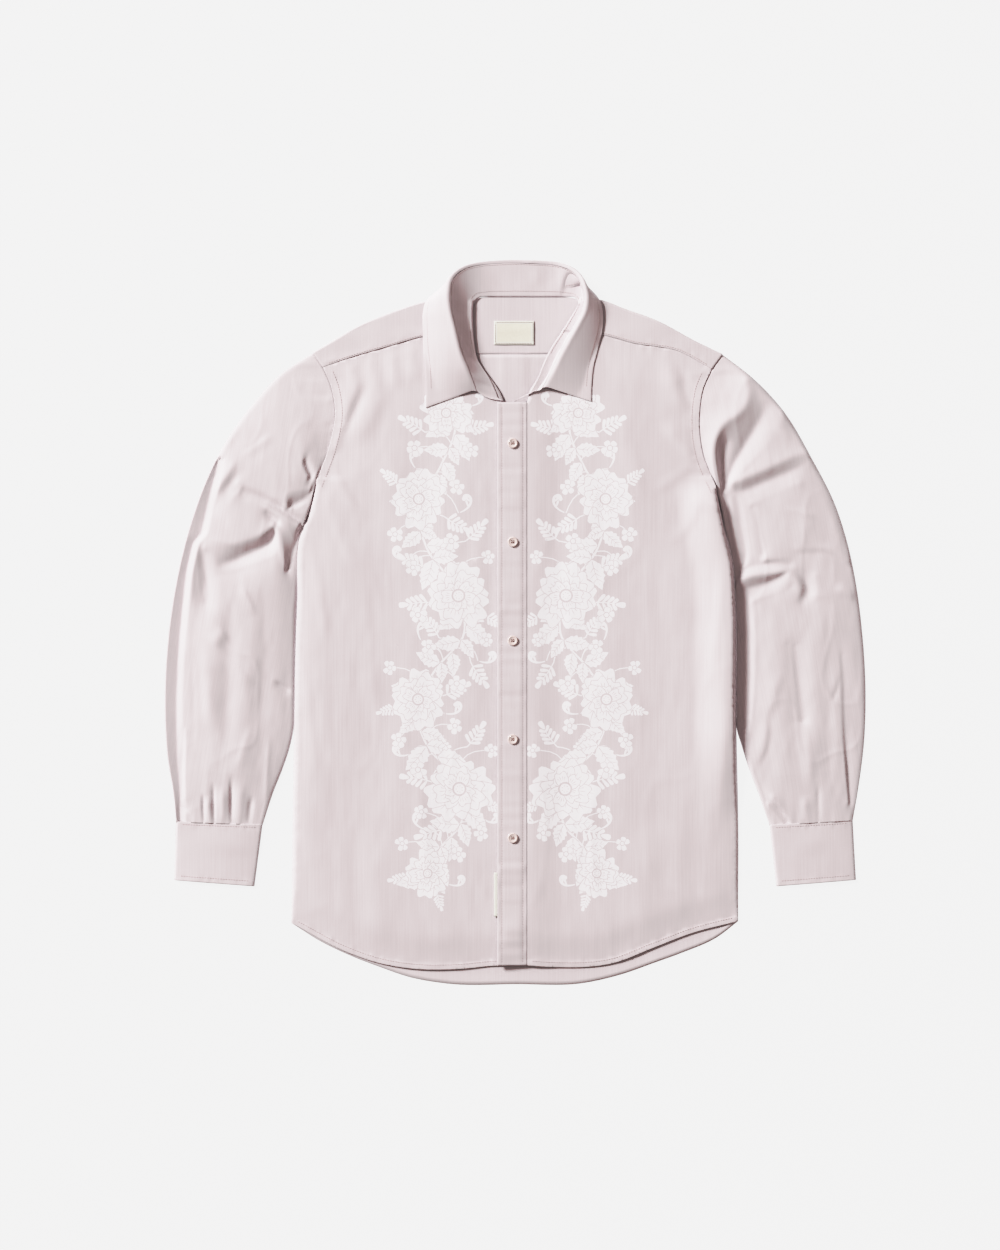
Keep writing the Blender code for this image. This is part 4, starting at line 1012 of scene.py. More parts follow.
# crest and valley lines of the sleeves, as (x, y, height)
sleeveLines = {
    "wearerRight": [
        # the elbow's two deep folds: crest, slope, crease and lit lip
        [(-354, 84, 8.6), (-340, 89, 9.6), (-319, 90, 10.6), (-302, 95, 11.2), (-288, 101, 11.4),
         (-275, 110, 10.4)],
        [(-333, 66, 5.4), (-318, 70.5, 2.4), (-300, 79, 2.0), (-285, 86, 2.0), (-278, 92, 2.2),
         (-274, 101, 4.4)],
        [(-338, 54, 7.2), (-318, 58, 7.2), (-298, 65, 7.4), (-283, 70.5, 7.8), (-271, 77, 8.4)],
        [(-269.5, 106, 9.8), (-267.5, 96, 10.0), (-266, 86, 9.8), (-264.5, 74, 8.8), (-263, 62, 7.2)],
        [(-243.5, 106, 2.0), (-245, 96, 1.9), (-248.5, 86, 1.9), (-253.5, 74, 1.9), (-259.5, 61, 2.4)],
        # thin crease that runs into the armpit, with its two banks
        [(-317, 151, 8.6), (-290, 142, 7.4), (-268, 129.5, 5.6), (-250, 117.5, 4.6), (-240, 110, 4.0)],
        [(-314, 158, 10.0), (-288, 149, 10.2), (-266, 137, 9.8), (-254, 127, 8.6), (-241, 116.5, 6.6)],
        [(-302, 137, 10.0), (-282, 130.5, 10.2), (-264, 120, 10.0), (-247, 111, 8.0)],
        [(-282, 124, 7.4), (-276, 118.5, 6.4), (-270.5, 114, 6.6)],
        # hollow of the short fold and the drop-shaped dent
        [(-256.5, 131, 4.6), (-249, 134.5, 3.8), (-240, 139.5, 3.8), (-232, 145, 4.2)],
        [(-261.5, 130, 9.4), (-263, 140, 10.0), (-261, 147.5, 9.8), (-250, 150.5, 9.0), (-235, 152, 6.6)],
        [(-251, 127, 7.0), (-243, 130, 5.8), (-237, 133, 4.8)],
        [(-238.5, 181, 5.4), (-235.5, 174, 4.4), (-231.5, 167, 4.2)],
        [(-246, 190, 9.4), (-242, 178, 9.4), (-237, 167, 8.4)],
        [(-234, 186, 7.2), (-230, 178, 6.4), (-227, 171, 5.8)],
        # short creases near the outer fold
        [(-313, 172, 9.0), (-322, 159, 7.4), (-332, 145, 7.8)],
        [(-321, 177, 9.8), (-330, 164, 9.9), (-339, 151, 9.2)],
        [(-304, 165, 10.0), (-313, 150, 10.2), (-322, 137, 10.0)],
        [(-338.5, 143, 7.0), (-342, 132, 5.8), (-345, 121, 6.8)],
        # soft trough below the elbow and the ridge beside it
        [(-357, 88, 7.4), (-354, 70, 5.4), (-352, 40, 5.4), (-352, 22, 6.4)],
        [(-366, 86, 9.0), (-368, 50, 8.8), (-369, -20, 8.4), (-368, -90, 7.6), (-367, -140, 6.8)],
        [(-378.4, -124, 5.0), (-379.5, -160, 2.4), (-380.8, -200, 3.2)],
        [(-374, -124, 7.0), (-374.5, -160, 6.6), (-375.5, -200, 5.6)],
    ],
    "wearerLeft": [
        # armpit pocket: crest beside the seam, steep drop, valley and the slope that rises from it
        [(263, 275, 10.0), (265, 256, 12.0), (255, 238, 13.8), (238, 226, 14.4), (229, 213, 14.0),
         (225.5, 197, 13.0),
         (226.5, 180, 12.0), (229.5, 166, 10.0), (233, 153, 6.4)],
        [(284, 252, 8.4), (282, 237, 6.2), (274, 221, 4.2), (266, 208, 2.8), (259, 196, 2.2), (252, 185, 1.9),
         (247, 175, 1.8), (242.5, 164, 1.8), (236.5, 152, 1.9)],
        [(242, 204, 5.4), (237, 190, 2.6), (237.5, 174, 1.9), (236, 162, 1.8)],
        [(306, 244, 9.8), (301, 224, 9.4), (292, 207, 9.0), (281, 193, 8.6), (269, 181, 8.4),
         (258, 170, 7.8)],
        # ridge that runs out across the upper arm
        [(248, 159, 7.6), (262, 164.5, 9.4), (280, 172, 10.4), (300, 181, 10.6), (318, 189, 10.0),
         (333, 193, 9.2)],
        [(238, 145, 2.4), (250, 147, 2.6), (263, 150, 3.2), (280, 157, 3.8), (300, 165.5, 4.6),
         (318, 173, 5.6), (334, 181, 7.6)],
        [(270, 134, 6.2), (286, 140, 6.8), (304, 148, 7.4), (324, 158, 8.2)],
        # sunken strip beside the body down to the elbow, then on to the free stretch
        [(241, 140, 1.8), (243, 126, 1.7), (246, 110, 1.7), (250, 90, 1.7), (254, 72, 1.6), (253, 55, 1.7)],
        [(252, 141, 2.2), (255, 126, 1.9), (257, 110, 1.8), (260, 92, 1.8), (261.5, 76, 1.7), (258, 62, 1.8)],
        [(270, 132, 4.6), (273, 118, 4.9), (276, 104, 5.1), (279, 90, 5.2), (281, 78, 5.2)],
        [(256, 38, 1.8), (258, 20, 1.7), (259, -20, 1.7), (259.5, -70, 1.8), (258.5, -118, 2.2)],
        [(262.5, 30, 1.9), (264, 0, 1.8), (264.5, -40, 1.8), (264, -80, 1.9), (262, -120, 2.4)],
        [(274, 20, 4.8), (275, -10, 4.9), (275, -50, 4.9), (273, -90, 4.6), (268, -130, 4.2)],
        # elbow fold with its dark underside, and the curl at its end
        [(255, 45, 4.4), (262, 50, 7.2), (271, 53, 9.0), (286, 55, 9.6), (300, 57, 9.2), (309, 58, 8.0)],
        [(256, 59, 2.4), (268, 64, 4.0), (286, 66.5, 5.4), (302, 66, 6.0), (312, 65, 6.0)],
        [(253, 36, 1.8), (262, 36.5, 1.9), (272, 38.5, 2.2), (287, 43, 2.8), (298, 48, 4.2), (306, 53, 6.2)],
        [(272, 23, 4.8), (286, 28, 5.6), (301, 33, 6.4), (314, 40, 7.4)],
        [(318, 60, 7.2), (325, 54.5, 5.8), (331.5, 45, 4.4), (333.5, 34, 4.6), (328, 24, 6.0)],
        [(312, 53, 9.0), (319, 47, 9.2), (324, 38, 9.0), (320, 28, 7.8)],
        [(342, 52, 7.8), (346, 38, 7.8), (342, 22, 7.4)],
        [(284, 70, 8.0), (320, 76, 7.2), (362, 75, 6.2), (381, 59, 5.0)],
        [(322, 85, 8.6), (358, 83, 7.6), (378, 70, 6.4)],
        # long creases of the forearm and the slit above the cuff
        [(373, -38, 6.0), (375, -70, 5.2), (376.5, -126, 4.4), (379, -165, 2.8), (382.5, -205, 2.4)],
        [(367, -38, 7.2), (369, -70, 7.0), (371, -126, 6.6), (374.5, -165, 6.2), (378, -205, 5.0)],
        [(319, -28, 5.8), (323, -66, 5.0), (328, -112, 4.8)],
        [(312, -26, 6.6), (315, -66, 6.4), (320, -112, 5.8)],
        [(288, -208, 4.6), (298, -214, 3.4), (309, -228, 3.0)],
        [(294, -200, 6.6), (303, -208, 6.4), (314, -224, 5.2)],
        [(272, -168, 4.2), (279, -188, 3.6), (286, -210, 3.2)],
    ],
}
# how far the under layer reaches out beyond the upper fold of the wearer's right sleeve
underLayer = [
    (190, 0), (171, 2.5), (126, 5), (101, 6), (90, 3.8), (56, 4), (30, 4.8), (0, 5.4), (-60, 5.8),
    (-134, 5.4),
    (-180, 4.6), (-222, 3),
]


def sleevePlan(side, across):
    # plan of the flat sleeve: rows run from the outer edge to the inner edge
    along = np.linspace(0, 1, sleeve["rings"])
    beside = evenly(bodySide[side], 41)[:23]
    inner = evenly([tuple(p) for p in beside] + sleeveFree[side], sleeve["rings"])
    outer = smoothCurve(sleeveOuter[side], along + sleeve["spread"] * np.sin(np.pi * along))
    cap = smoothCurve(armhole[side], across)
    t = across[:, None]
    curve = cap - (1 - t) * cap[0] - t * cap[-1]
    plan = (1 - t) * outer[:, None] + t * inner[:, None]
    plan = plan + (1 - easing(along, 0.0, 0.45))[:, None, None] * curve[None]
    plan[..., 0] += outward[side] * sleeve["gap"]
    return plan, along


def sleeveTop(plan, along, across, side):
    # height of the upper side over the whole plan
    shape = plan.shape[:2]
    flat = plan.reshape(-1, 2)
    arch = np.sin(np.pi * np.clip(across, 0, 1) ** loftSkew[side]) ** 0.7
    loft = np.interp(along, *np.array(sleeveLoft[side]).T)[:, None] * arch[None]
    folds = foldHeight(flat, sleeveFolds[side]).reshape(shape)
    folds = np.maximum(folds, -0.92 * loft - 0.6)
    fine = fineHeight(flat, "sleeve").reshape(shape)
    edge = easing(np.minimum(across, 1 - across), 0, 0.07)[None]
    down = along[:, None]
    ends = easing(down, 0.0, 0.04) * (1 - 0.35 * easing(down, 0.93, 1.0))
    cap = np.exp(-((down * 26) ** 2)) * softNoise(flat, (40, 7), 53).reshape(shape) * 0.5
    cap = cap * easing(down, 0.0, 0.012)
    seamLift = armLift(flat, distanceTo(flat, frontLines[side]["arm"]), side).reshape(shape)
    seamLift = seamLift + 0.5 * (1 - easing(across, 0.1, 0.2))[None] * np.exp(-down * 60)
    cuffPull = np.exp(-(((1 - down) * 22) ** 2)) * softNoise(flat, (5, 40), 54).reshape(shape) * 0.4
    top = cloth["seamTop"] - 0.65 + loft * easing(down, 0.0, 0.1) + folds * edge * ends + seamLift
    top = pulledTaut(plan, np.maximum(top, 1.8), sleeveLines[side])
    return np.maximum(top + fine * edge * ends * easing(top, 1.8, 4.0) + cap + cuffPull, 1.6)


def buildSleeve(side, name, node, material):
    count, middle = sleeve["across"], sleeve["middle"]
    crowded = (1 - np.cos(np.linspace(0, math.pi, count))) / 2
    t = crowded * sleeve["crowd"] + np.linspace(0, 1, count) * (1 - sleeve["crowd"])
    plan, along = sleevePlan(side, t)
    top = sleeveTop(plan, along, t, side)
    width = np.linalg.norm(plan[:, -1] - plan[:, 0], axis=1)[:, None]
    # round both long edges: the top comes down to the surface over a few millimetres
    away = np.minimum(t, 1 - t)[None] * width
    turn = np.full(plan.shape[:2], sleeve["round"])
    if side == "wearerRight":
        # the under layer shows beyond the upper fold as a narrow gutter with a raised rim
        ys, reach = np.array(underLayer[::-1]).T
        ledge = np.interp(plan[..., 1], ys, reach) * (width / 60)
        beyond = t[None] * width - ledge
        foot = 1.0 + sleeve["underLayer"] * np.clip(-beyond / np.maximum(ledge, 1), 0, 1)
        top = np.where(ledge > 1, foot + (top - foot) * easing(beyond, -0.4, 8.0), top)
        turn = np.where((ledge > 1) & (t < 0.5)[None], sleeve["rim"], turn)
    turn = np.where((t > 0.5)[None] & (np.arange(len(plan)) < sleeve["beside"])[:, None], sleeve["rim"], turn)
    roll = roundOff(away, turn)
    upper = lift(plan, middle + (top - middle) * roll)
    upper[0, :, 0] -= outward[side] * sleeve["tuck"]  # under the edge of the body
    under = np.searchsorted(t, lowerShares)
    lower = lift(plan[:, under], (middle * (1 - roll))[:, under])[:, ::-1]
    piece = surface(name, np.concatenate([upper, lower], axis=1), [material], sleeve["wall"],
                    flip=side == "wearerLeft", closed=True)
    return dressed(piece, node), upper


cuffEnd = {
    "wearerRight": [(-388.4, -294), (-296.9, -301)],
    "wearerLeft": [(388.5, -293.6), (297.5, -301)],
}
cuff = {
    "rows": 60, "across": 60, "low": 2.6, "top": 5.0, "length": 66, "round": 2.6, "middle": 1.5, "wall": 0.8,
}


def buildCuff(side, name, node, seam):
    t, f = np.linspace(0, 1, cuff["across"]), np.linspace(0, 1, cuff["rows"])[:, None]
    lines = [a * (1 - t)[:, None] + b * t[:, None] for a, b in (seam[[0, -1], :2], np.array(cuffEnd[side]))]
    plan = (1 - f)[:, None] * lines[0] + f[:, None] * lines[1]
    plan[..., 1] += 1 - f  # tucked over the sleeve's end
    shape, flat = plan.shape[:2], plan.reshape(-1, 2)
    z = cuff["low"] + (cuff["top"] - cuff["low"]) * np.sin(np.pi * t)[None] ** 0.5
    fromEnd = np.broadcast_to(np.minimum(f, 1 - f) * cuff["length"], shape).ravel()
    z = z + (0.35 * softNoise(flat, (26, 18), 61) + puckerHeight(flat, fromEnd, "cuff")).reshape(shape)
    away = np.minimum(t, 1 - t)[None] * np.linalg.norm(plan[:, 0] - plan[:, -1], axis=1)[:, None]
    roll, middle = roundOff(away, cuff["round"]), cuff["middle"]
    upper = lift(plan, middle + (z - middle) * roll)
    lower = lift(plan, middle * (1 - roll))[:, 1:-1][:, ::-1]
    piece = surface(name, np.concatenate([upper, lower], axis=1), ["body"], cuff["wall"],
                    flip=side == "wearerLeft", closed=True)
    return dressed(piece, node), upper


shortNames = {"wearerRight": "right", "wearerLeft": "left"}
sleevePieces, cuffPieces, cuffTops = {}, {}, {}
for side, short in shortNames.items():
    sleeveName = short + "Sleeve"
    sleevePieces[side], sleeveUpper = buildSleeve(side, sleeveName, "sleeve_" + short, sleeveName)
    cuffPieces[side], cuffTops[side] = buildCuff(side, short + "Cuff", "cuff_" + short, sleeveUpper[-1])
print("sleeves and cuffs made")

# Collar: base of the stand, crest of the fold and edge of the leaf at each station
collarRows = [
    (-19, 255, 4.2, -48, 263, 8, -101.5, 244, 4.4), (-23, 265, 4.2, -52, 275, 14, -101.5, 270, 4.4),
    (-30, 279, 4.2, -57, 289, 19, -102.5, 292, 4.5), (-42, 298, 4.2, -64, 308, 22, -104.5, 316, 4.8),
    (-46, 316, 4.2, -70, 333, 23.5, -105, 339, 5.6), (-48, 338, 4.0, -75.5, 355, 24, -104.5, 353, 6.2),
    (-47.5, 361, 3.0, -77, 374, 23, -99, 367.5, 6.4), (-41, 369.5, 2.0, -74, 391, 18, -78, 382, 1.8),
    (-34, 370.5, 1.15, -61, 403, 11, -53, 380, 0.7), (-20, 370.5, 1.05, -40, 409.5, 4.2, -34, 376, 0.62),
    (1, 370.5, 1.05, -8, 412, 3.2, -6, 374, 0.61), (24, 370.5, 1.05, 26, 411.5, 3.1, 26, 374, 0.61),
    (43, 370.5, 1.05, 50, 409, 4.2, 48, 376, 0.62), (59, 370.5, 1.15, 68, 401, 10, 63, 379, 0.7),
    (68, 370, 2.0, 78, 387, 18, 79, 383, 1.8), (72, 361, 3.0, 81.5, 370, 20, 95, 367.5, 8.0),
    (63, 345, 4.0, 80, 354, 18.5, 100, 350, 6.4), (53, 329, 4.2, 72, 337, 18, 99, 331, 5.4),
    (42, 312, 4.2, 62, 319, 17, 94, 310, 4.6), (33, 294, 4.2, 52, 300, 16, 89, 290, 4.4),
    (26, 277, 4.2, 44, 283, 14.5, 87, 270, 4.4), (18, 262, 4.2, 36, 267, 11, 86.5, 251, 4.4),
]
standEnds = {
    "wearerRight": [(-13, 252, 4.4, -34, 252, 6.4)],
    "wearerLeft": [(8, 256, 6.4, 22, 262, 9.4), (-3, 250, 6.4, 8, 255, 7.4)],
}
collar = {
    "stations": 170, "wall": 0.9, "standWall": 0.7, "fold": 1.3, "seam": 3.4, "bulge": 1.2, "lay": 0.4,
    "topstitch": 5.0, "endRound": 9.0, "standColumns": 220,
    "hollow": {"wearerRight": 0.4, "wearerLeft": 22.0},
}


def clothUnder(points):
    # highest cloth below the collar at each point: yoke flaps and fronts
    plan = points[:, :2]
    found = np.full(len(plan), -1.0)
    for side in sides:
        lines = frontLines[side]
        corner = np.array([[centreEdge[side], lines[k][-1][1]] for k in ("neck", "hem")])
        outline = [lines["seam"], lines["neck"][1:], corner, lines["hem"][::-1], lines["edge"][::-1][1:-1]]
        outline = np.vstack(outline)
        inside = insidePolygon(plan, outline)
        if inside.any():
            found[inside] = np.maximum(found[inside], frontTop(plan[inside], side))
        flap = np.vstack([evenly(shoulder[side], 30), lines["seam"][::-1]])
        inside = insidePolygon(plan, flap)
        found[inside] = np.maximum(found[inside], cloth["seamTop"] + 1.6)
    strip = (plan[:, 0] > placket["left"]) & (plan[:, 0] < placket["right"]) & (plan[:, 1] < 250)
    if strip.any():
        found[strip] = placketTop(plan[strip])
    return found


def laidOn(grid, wall):
    flat = grid.reshape(-1, 3).copy()
    under = clothUnder(flat)
    floor = np.where(under > 0, under + collar["lay"] + wall / 2, flat[:, 2])
    flat[:, 2] = np.maximum(flat[:, 2], floor)
    return flat.reshape(grid.shape)


def smoothColumns(grid, passes):
    # even out small steps left by laying the collar on the cloth
    for _ in range(passes):
        middle = grid[:, 1:-1, 2]
        grid[:, 1:-1, 2] = np.maximum(middle, (grid[:, :-2, 2] + grid[:, 2:, 2]) / 2 * 0.5 + middle * 0.5)
    return grid


def buildLeaf(base, crest, edge):
    # from the seam with the stand over the fold and down to the edge
    intoStand, intoLeaf = unit(base - crest), unit(edge - crest)
    middle = unit(intoStand + intoLeaf)
    turn = intoLeaf - intoStand
    turn = unit(turn - (turn * middle).sum(axis=1, keepdims=True) * middle)
    fold, run = collar["fold"], collar["seam"]
    intoStand, intoLeaf = unit(base + turn * fold - crest), unit(edge - turn * fold - crest)
    seam = crest + intoStand * run - turn * fold
    near = crest + intoLeaf * run + turn * fold
    rows = [seam]
    for angle in np.radians(np.linspace(-80, 80, 9)):
        into = intoStand if angle < 0 else intoLeaf
        rows.append(crest + into * (1 - math.cos(angle)) * fold + turn * fold * math.sin(angle))
    rows.append(near)
    drop = easing(crest[:, 2:3] - edge[:, 2:3], 5, 18)
    for f in np.linspace(0, 1, 22)[1:]:
        row = near + (edge - near) * f
        row[:, 2:3] += collar["bulge"] * drop * math.sin(math.pi * f)
        rows.append(row)
    leaf = smoothColumns(laidOn(np.array(rows), collar["wall"]), 3)
    piece = surface("collarLeaf", leaf, ["body"], collar["wall"], 0)
    bevel = piece.modifiers.new("soft", "BEVEL")
    bevel.width = 0.25 * mm
    bevel.segments = 2
    bevel.limit_method = "ANGLE"
    bevel.angle_limit = math.radians(50)
    return dressed(piece, "collar_leaf"), leaf, seam + intoStand * 0.6


def buildStand(base, head):
    # a band that curves up from the neck seam to the fold, with both front ends rounded off
    right, left = [np.array(standEnds[side], float) for side in sides]
    bases = np.vstack([right[::-1, :3], base[::4], base[-1:], left[:, :3]])
    heads = np.vstack([right[::-1, 3:], head[::4], head[-1:], left[:, 3:]])
    both = curveAt(np.hstack([bases, heads]), stepsOf(bases) + 0.5, np.linspace(0, 1, collar["standColumns"]))
    bases, heads = both[:, :3], both[:, 3:]
    normal = unit(np.cross(np.gradient(bases, axis=0), heads - bases))
    deep = easing((heads - bases)[:, 2:3], 5, 14)
    reached = np.concatenate([[0.0], np.cumsum(stepsOf(bases))])
    turn = collar["endRound"]
    fromEnd = np.maximum(np.minimum(reached, reached[-1] - reached), 0.02 * turn)
    rise = (heads - bases) * roundOff(fromEnd, turn)[:, None]
    hollow = np.interp(bases[:, :1], (-25, 25), [collar["hollow"][side] for side in sides])
    along = np.cumsum(np.linalg.norm(np.gradient(bases, axis=0), axis=1))
    rows = []
    for f in 1 - (1 - np.linspace(0, 1, 28)) ** 1.6:
        row = bases + rise * f
        row[:, 2:3] = bases[:, 2:3] + rise[:, 2:3] * f ** (1 + hollow * deep)
        wave = softNoise(np.column_stack([along, np.full(len(bases), f * 30)]), (9, 22), 71)
        rows.append(row + normal * (wave * 0.5 * math.sin(math.pi * f))[:, None])
    stand = smoothColumns(laidOn(np.array(rows), collar["standWall"]), 1)
    piece = surface("collarStand", stand, ["body"], collar["standWall"], 0)
    return dressed(piece, "collar_stand"), stand


collarTable = np.array(collarRows, float)
stations = curveAt(collarTable, np.ones(len(collarTable) - 1), np.linspace(0, 1, collar["stations"]))
leafPiece, leafGrid, leafSeam = buildLeaf(stations[:, :3], stations[:, 3:6], stations[:, 6:])
standPiece, standGrid = buildStand(stations[:, :3], leafSeam)


print("collar made")

label = {"left": -23.9, "right": 21.7, "low": 316.0, "high": 343.0, "border": 3.0, "seat": 1.5}


def buildLabel():
    # a bare woven label: pale border, warmer field
    xs, ys = np.linspace(label["left"], label["right"], 40), np.linspace(label["high"], label["low"], 26)
    plan = pointGrid(xs, ys)
    grid = lift(plan, label["seat"] + 0.25 * softNoise(plan.reshape(-1, 2), (12, 9), 81) + 0.3)
    inside = []
    for values, low, high in ((ys, label["low"], label["high"]), (xs, label["left"], label["right"])):
        centres = (values[:-1] + values[1:]) / 2
        inside.append((centres > low + label["border"]) & (centres < high - label["border"]))
    field = (inside[0][:, None] & inside[1][None]).astype(int).ravel()
    piece = surface("neckLabel", grid, ["label", "labelField"], 0.5, indices=field)
    return dressed(piece, "neck_label")


labelPiece = buildLabel()

tab = {"width": 4.0, "low": -335.0, "high": -285.0}


def buildTab():
    ys = np.linspace(tab["high"], tab["low"], 30)
    xs = np.linspace(placket["left"] - tab["width"], placket["left"], 8)
    edge = frontTop(np.column_stack([np.full(30, placket["left"]), ys]), "wearerLeft")
    z = edge[:, None] + 0.1 + 0.2 * np.sin((xs - xs[0]) / tab["width"] * math.pi)[None]
    dressed(surface("placketTab", lift(pointGrid(xs, ys), z), ["label"], 0.7), "placket_tab")


buildTab()

button = {
    "across": 11.5, "thick": 2.4, "x": -2.6, "first": 203.3, "pitch": 112.2, "count": 5, "segments": 48,
    "dish": 0.72, "hole": 1.6, "offset": 1.5, "seat": 0.15,
    "thread": 0.17, "threadSlips": (-0.25, 0.0, 0.25), "threadRise": 0.45,
}
# rim of a button from its underside to its dished middle, as shares of half its width and its thickness
buttonProfile = [
    (0.8, 0), (0.96, 0.3), (1, 0.6), (0.95, 0.88), (0.86, 1), (0.74, 0.97), (0.64, 0.76), (0.3, 0.72),
]


def buildButton(number):
    # turned blank with a raised rim and a dished middle, drilled with four holes and sewn on
    y = button["first"] - number * button["pitch"]
    seat = float(placketTop(np.array([[button["x"], y]]))[0]) + button["seat"]
    spot, thick = np.array([button["x"], y, seat]), button["thick"]
    circle = circlePoints(button["segments"]) * button["across"] / 2
    rings = [lift(circle * r, np.full(len(circle), z * thick)) + spot for r, z in buttonProfile]
    name = f"button{number + 1}"
    tips = [spot, spot + (0, 0, thick * button["dish"])]
    piece = makeMesh(name, *spindle(tips, rings), ["pearl"])
    cutter = makeMesh(name + "Drill", *drillShape(spot), ["pearl"])
    cut = piece.modifiers.new("holes", "BOOLEAN")
    cut.operation, cut.solver, cut.object = "DIFFERENCE", "EXACT", cutter
    applied = bpy.data.meshes.new_from_object(piece.evaluated_get(bpy.context.evaluated_depsgraph_get()))
    piece.modifiers.clear()
    piece.data = applied
    bpy.data.objects.remove(cutter, do_unlink=True)
    piece.data.set_sharp_from_angle(angle=math.radians(50))
    dressed(piece, f"button_{number + 1}")
    sewButton(name + "Thread", tips[1])


def drillShape(spot):
    circle = circlePoints(12) * button["hole"] / 2
    drills = []
    for turn in math.pi / 4 + np.arange(4) * math.pi / 2:
        centre = spot[:2] + button["offset"] * np.array([math.cos(turn), math.sin(turn)])
        drills.append(tube([lift(circle + centre, np.full(12, spot[2] + height)) for height in (-1.0, 4.0)]))
    return joined(drills)


def sewButton(name, spot):
    # two bars of thread through the four holes
    reach = button["offset"] * math.sqrt(0.5)
    circle = circlePoints(6) * (button["thread"], -button["thread"])  # so that its faces look outward
    bars = []
    for x in (flank * reach + slip for flank in (-1, 1) for slip in button["threadSlips"]):
        rings = []
        for u in np.linspace(-1, 1, 9):
            rise = button["threadRise"] * (1 - u**4) - 0.5 * (abs(u) > 0.95)
            ring = np.column_stack([circle[:, 0] + x, np.full(6, u * reach), circle[:, 1] + rise])
            rings.append(ring + spot)
        bars.append(tube(rings))
    makeMesh(name, *joined(bars), ["thread"])


for number in range(button["count"]):
    buildButton(number)
print("buttons made")


# Stitch rows, each lying on the cloth that it sews
def onFront(line, side, above=0.12):
    return lift(line, frontTop(line, side) + above)


def rowAlong(grid, share, above=0.1):
    # a row at a share of the way across a grid of points
    place = share * (grid.shape[1] - 1)
    i = min(int(place), grid.shape[1] - 2)
    line = grid[:, i] * (1 - place + i) + grid[:, i + 1] * (place - i)
    return line + (0, 0, above)


def sewFronts():
    for side, short in shortNames.items():
        lines = frontLines[side]
        middle = np.array([outward[side] * 130.0, 0.0])
        hem = inward(lines["hem"], 5.4, middle)[1:-1]
        arm = inward(lines["arm"][4:], 8.4, middle)
        sewRows(short + "FrontStitches", [onFront(hem, side), onFront(arm, side)])
    ys = np.linspace(246, -388, 260)
    strips = []
    for x in (placket["left"] + 5.0, placket["right"] - 5.0):
        line = np.column_stack([np.full(len(ys), x), ys])
        strips.append(lift(line, placketTop(line) - 0.1))
    sewRows("placketStitches", strips)


def sewCuffs():
    for side, short in shortNames.items():
        upper = cuffTops[side].transpose(1, 0, 2)
        sewRows(short + "CuffStitches", [rowAlong(upper, share)[4:-4] for share in (0.05, 0.92)])


def sewCollar():
    # topstitching a little inside the leaf's edge, up its front ends and round the fold
    lengths = np.linalg.norm(np.diff(leafGrid, axis=0), axis=2).sum(axis=0)
    depth = leafGrid.shape[0] - 1
    outer = []
    for k in range(6, leafGrid.shape[1] - 6):
        share = depth - collar["topstitch"] / (lengths[k] / depth)
        i = int(share)
        outer.append(leafGrid[i, k] * (1 - share + i) + leafGrid[i + 1, k] * (share - i))
    sewRows("collarStitches", [np.array(outer) + (0, 0, collar["wall"] / 2 + 0.08)])
    across = standGrid[:, 40:-40] + (0, 0, collar["standWall"] / 2 + 0.1)
    sewRows("standStitches", [across[3], across[-4][25:-25]])


def sewYoke():
    rows = []
    for side in sides:
        line = seamLine(side, 120)[4:-4] + (0, 2.0)
        rows.append(lift(line, np.full(len(line), 2 * yoke["half"] + yoke["low"] + 0.6 + cloth["seamRise"])))
    sewRows("yokeStitches", rows)


def sewLabel():
    left, right, low, high = [label[k] for k in ("left", "right", "low", "high")]
    inset = 1.4
    corners = [(left + inset, high - inset), (right - inset, high - inset), (right - inset, low + inset),
               (left + inset, low + inset)]
    rows = [np.linspace(a, b, 12) for a, b in zip(corners, corners[1:] + corners[:1])]
    sewRows("labelStitches", [lift(row, np.full(12, label["seat"] + 0.5)) for row in rows])


sewFronts()
sewCuffs()
sewCollar()
sewYoke()
sewLabel()


# Sheets: flat size of each cut, all round on the tubes
def declareSheets():
    cuts = [
        (rightFront, (0.285, 0.745), 0.178, ["backPanel"]),
        (leftFront, (0.300, 0.745), 0.190, ["rightFront"]),
        (back, (0.515, 0.720), 0.345, []), (yokePiece, (0.480, 0.125), 0.0395, ["backPanel"]),
        (placketPiece, (0.034, 0.645), 0.0218, ["leftFront"]),
        (sleevePieces["wearerRight"], (0.330, 0.600), 0.150, []),
        (sleevePieces["wearerLeft"], (0.330, 0.600), 0.150, []),
        (cuffPieces["wearerRight"], (0.200, 0.075), 0.0135, []),
        (cuffPieces["wearerLeft"], (0.200, 0.075), 0.0135, []),
        (standPiece, (0.400, 0.034), 0.0120, ["yokePanel"]),
        (leafPiece, (0.420, 0.060), 0.0170, ["rightFront", "leftFront"]),
        (labelPiece, (0.046, 0.027), 0.00124, ["yokePanel"]),
    ]
    for piece, flat, area, under in cuts:
        print("cloth", piece.name, round(sum(face.area for face in piece.data.polygons), 5), area)


declareSheets()


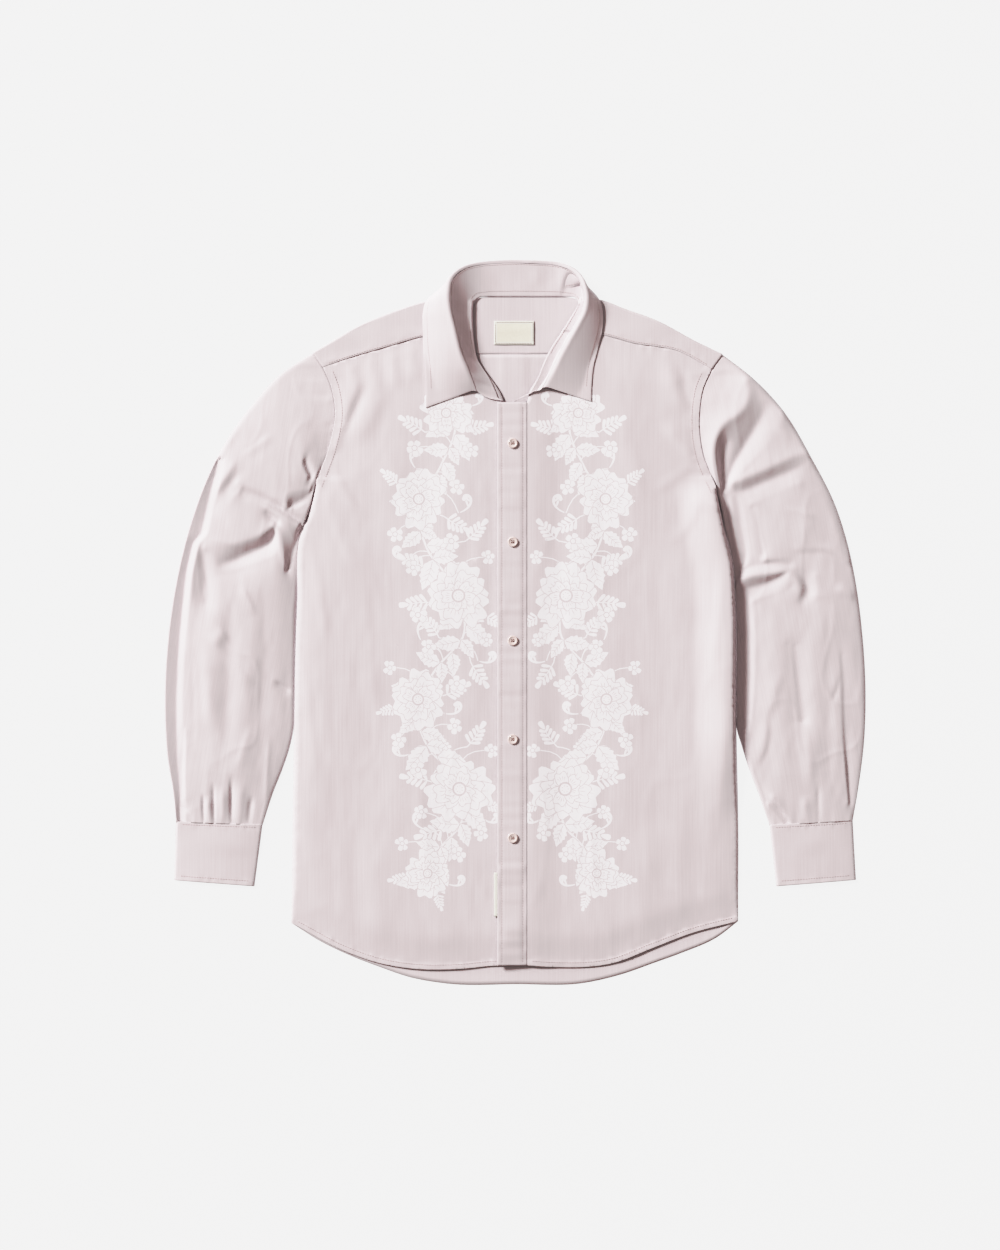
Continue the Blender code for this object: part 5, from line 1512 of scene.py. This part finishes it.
# Studio: pale floor, soft light from the upper left, camera straight above
studio = {
    "floorLight": 0.98, "floor": (0.075, 0.075, 0.075),
    "key": 2050.0, "keySize": 3.0, "keyPlace": (-8.9, 6.3, 7.4), "keyColour": (1.0, 0.99, 0.985),
    "fill": 0.36, "fillColour": (1.0, 0.88, 0.84), "lens": 85.0, "sensor": 36, "clipEnd": 50,
    "frameHeight": 1425.0, "cameraAt": (-17.1, -3.4),
    "shoulder": (
        (0.05, 0.035), (0.1, 0.1), (0.15, 0.225), (0.2, 0.385), (0.3, 0.6), (0.375, 0.745), (0.45, 0.84),
        (0.55, 0.905), (0.7, 0.95),
    ),
}


def buildStudio():
    bpy.ops.mesh.primitive_plane_add(size=12, location=(0, 0, -0.0004))
    floor = bpy.context.object
    floor.name = "floor"
    g = Graph("paleFloor")
    floor.data.materials.append(g.finish(
        Base_Color=(*studio["floor"], 1), Roughness=0.9, Specular_IOR_Level=0.0, Emission_Color=(1, 1, 1, 1),
        Emission_Strength=studio["floorLight"]))

    world = bpy.data.worlds.new("softRoom")
    bpy.context.scene.world = world
    world.use_nodes = True
    room = world.node_tree.nodes["Background"]
    room.inputs[0].default_value = (*studio["fillColour"], 1)
    room.inputs[1].default_value = studio["fill"]

    softbox = bpy.data.lights.new("softbox", "AREA")
    softbox.energy = studio["key"]
    softbox.size = studio["keySize"]
    softbox.color = studio["keyColour"]
    key = placeInScene("softbox", softbox)
    key.location = studio["keyPlace"]
    key.rotation_euler = Vector(studio["keyPlace"]).to_track_quat("Z", "Y").to_euler()

    lens = bpy.data.cameras.new("camera")
    lens.lens = studio["lens"]
    lens.sensor_width = studio["sensor"]
    camera = placeInScene("camera", lens)
    # the picture shows 1.14 by 1.425 m
    x, y = studio["cameraAt"]
    camera.location = (x * mm, y * mm, studio["frameHeight"] * mm * studio["lens"] / studio["sensor"])
    lens.clip_end = studio["clipEnd"]
    bpy.context.scene.camera = camera
    view = bpy.context.scene.view_settings
    view.view_transform = "Standard"
    # a soft shoulder keeps the lit folds from burning out; inputs run from 0 to twice white
    view.use_curve_mapping = True
    view.curve_mapping.white_level = (2, 2, 2)
    curve = view.curve_mapping.curves[3]
    for point, place in zip(curve.points, ((0, 0), (1, 0.985))):
        point.location = place
    for place in studio["shoulder"]:
        curve.points.new(*place)
    view.curve_mapping.update()


buildStudio()
print("studio set")
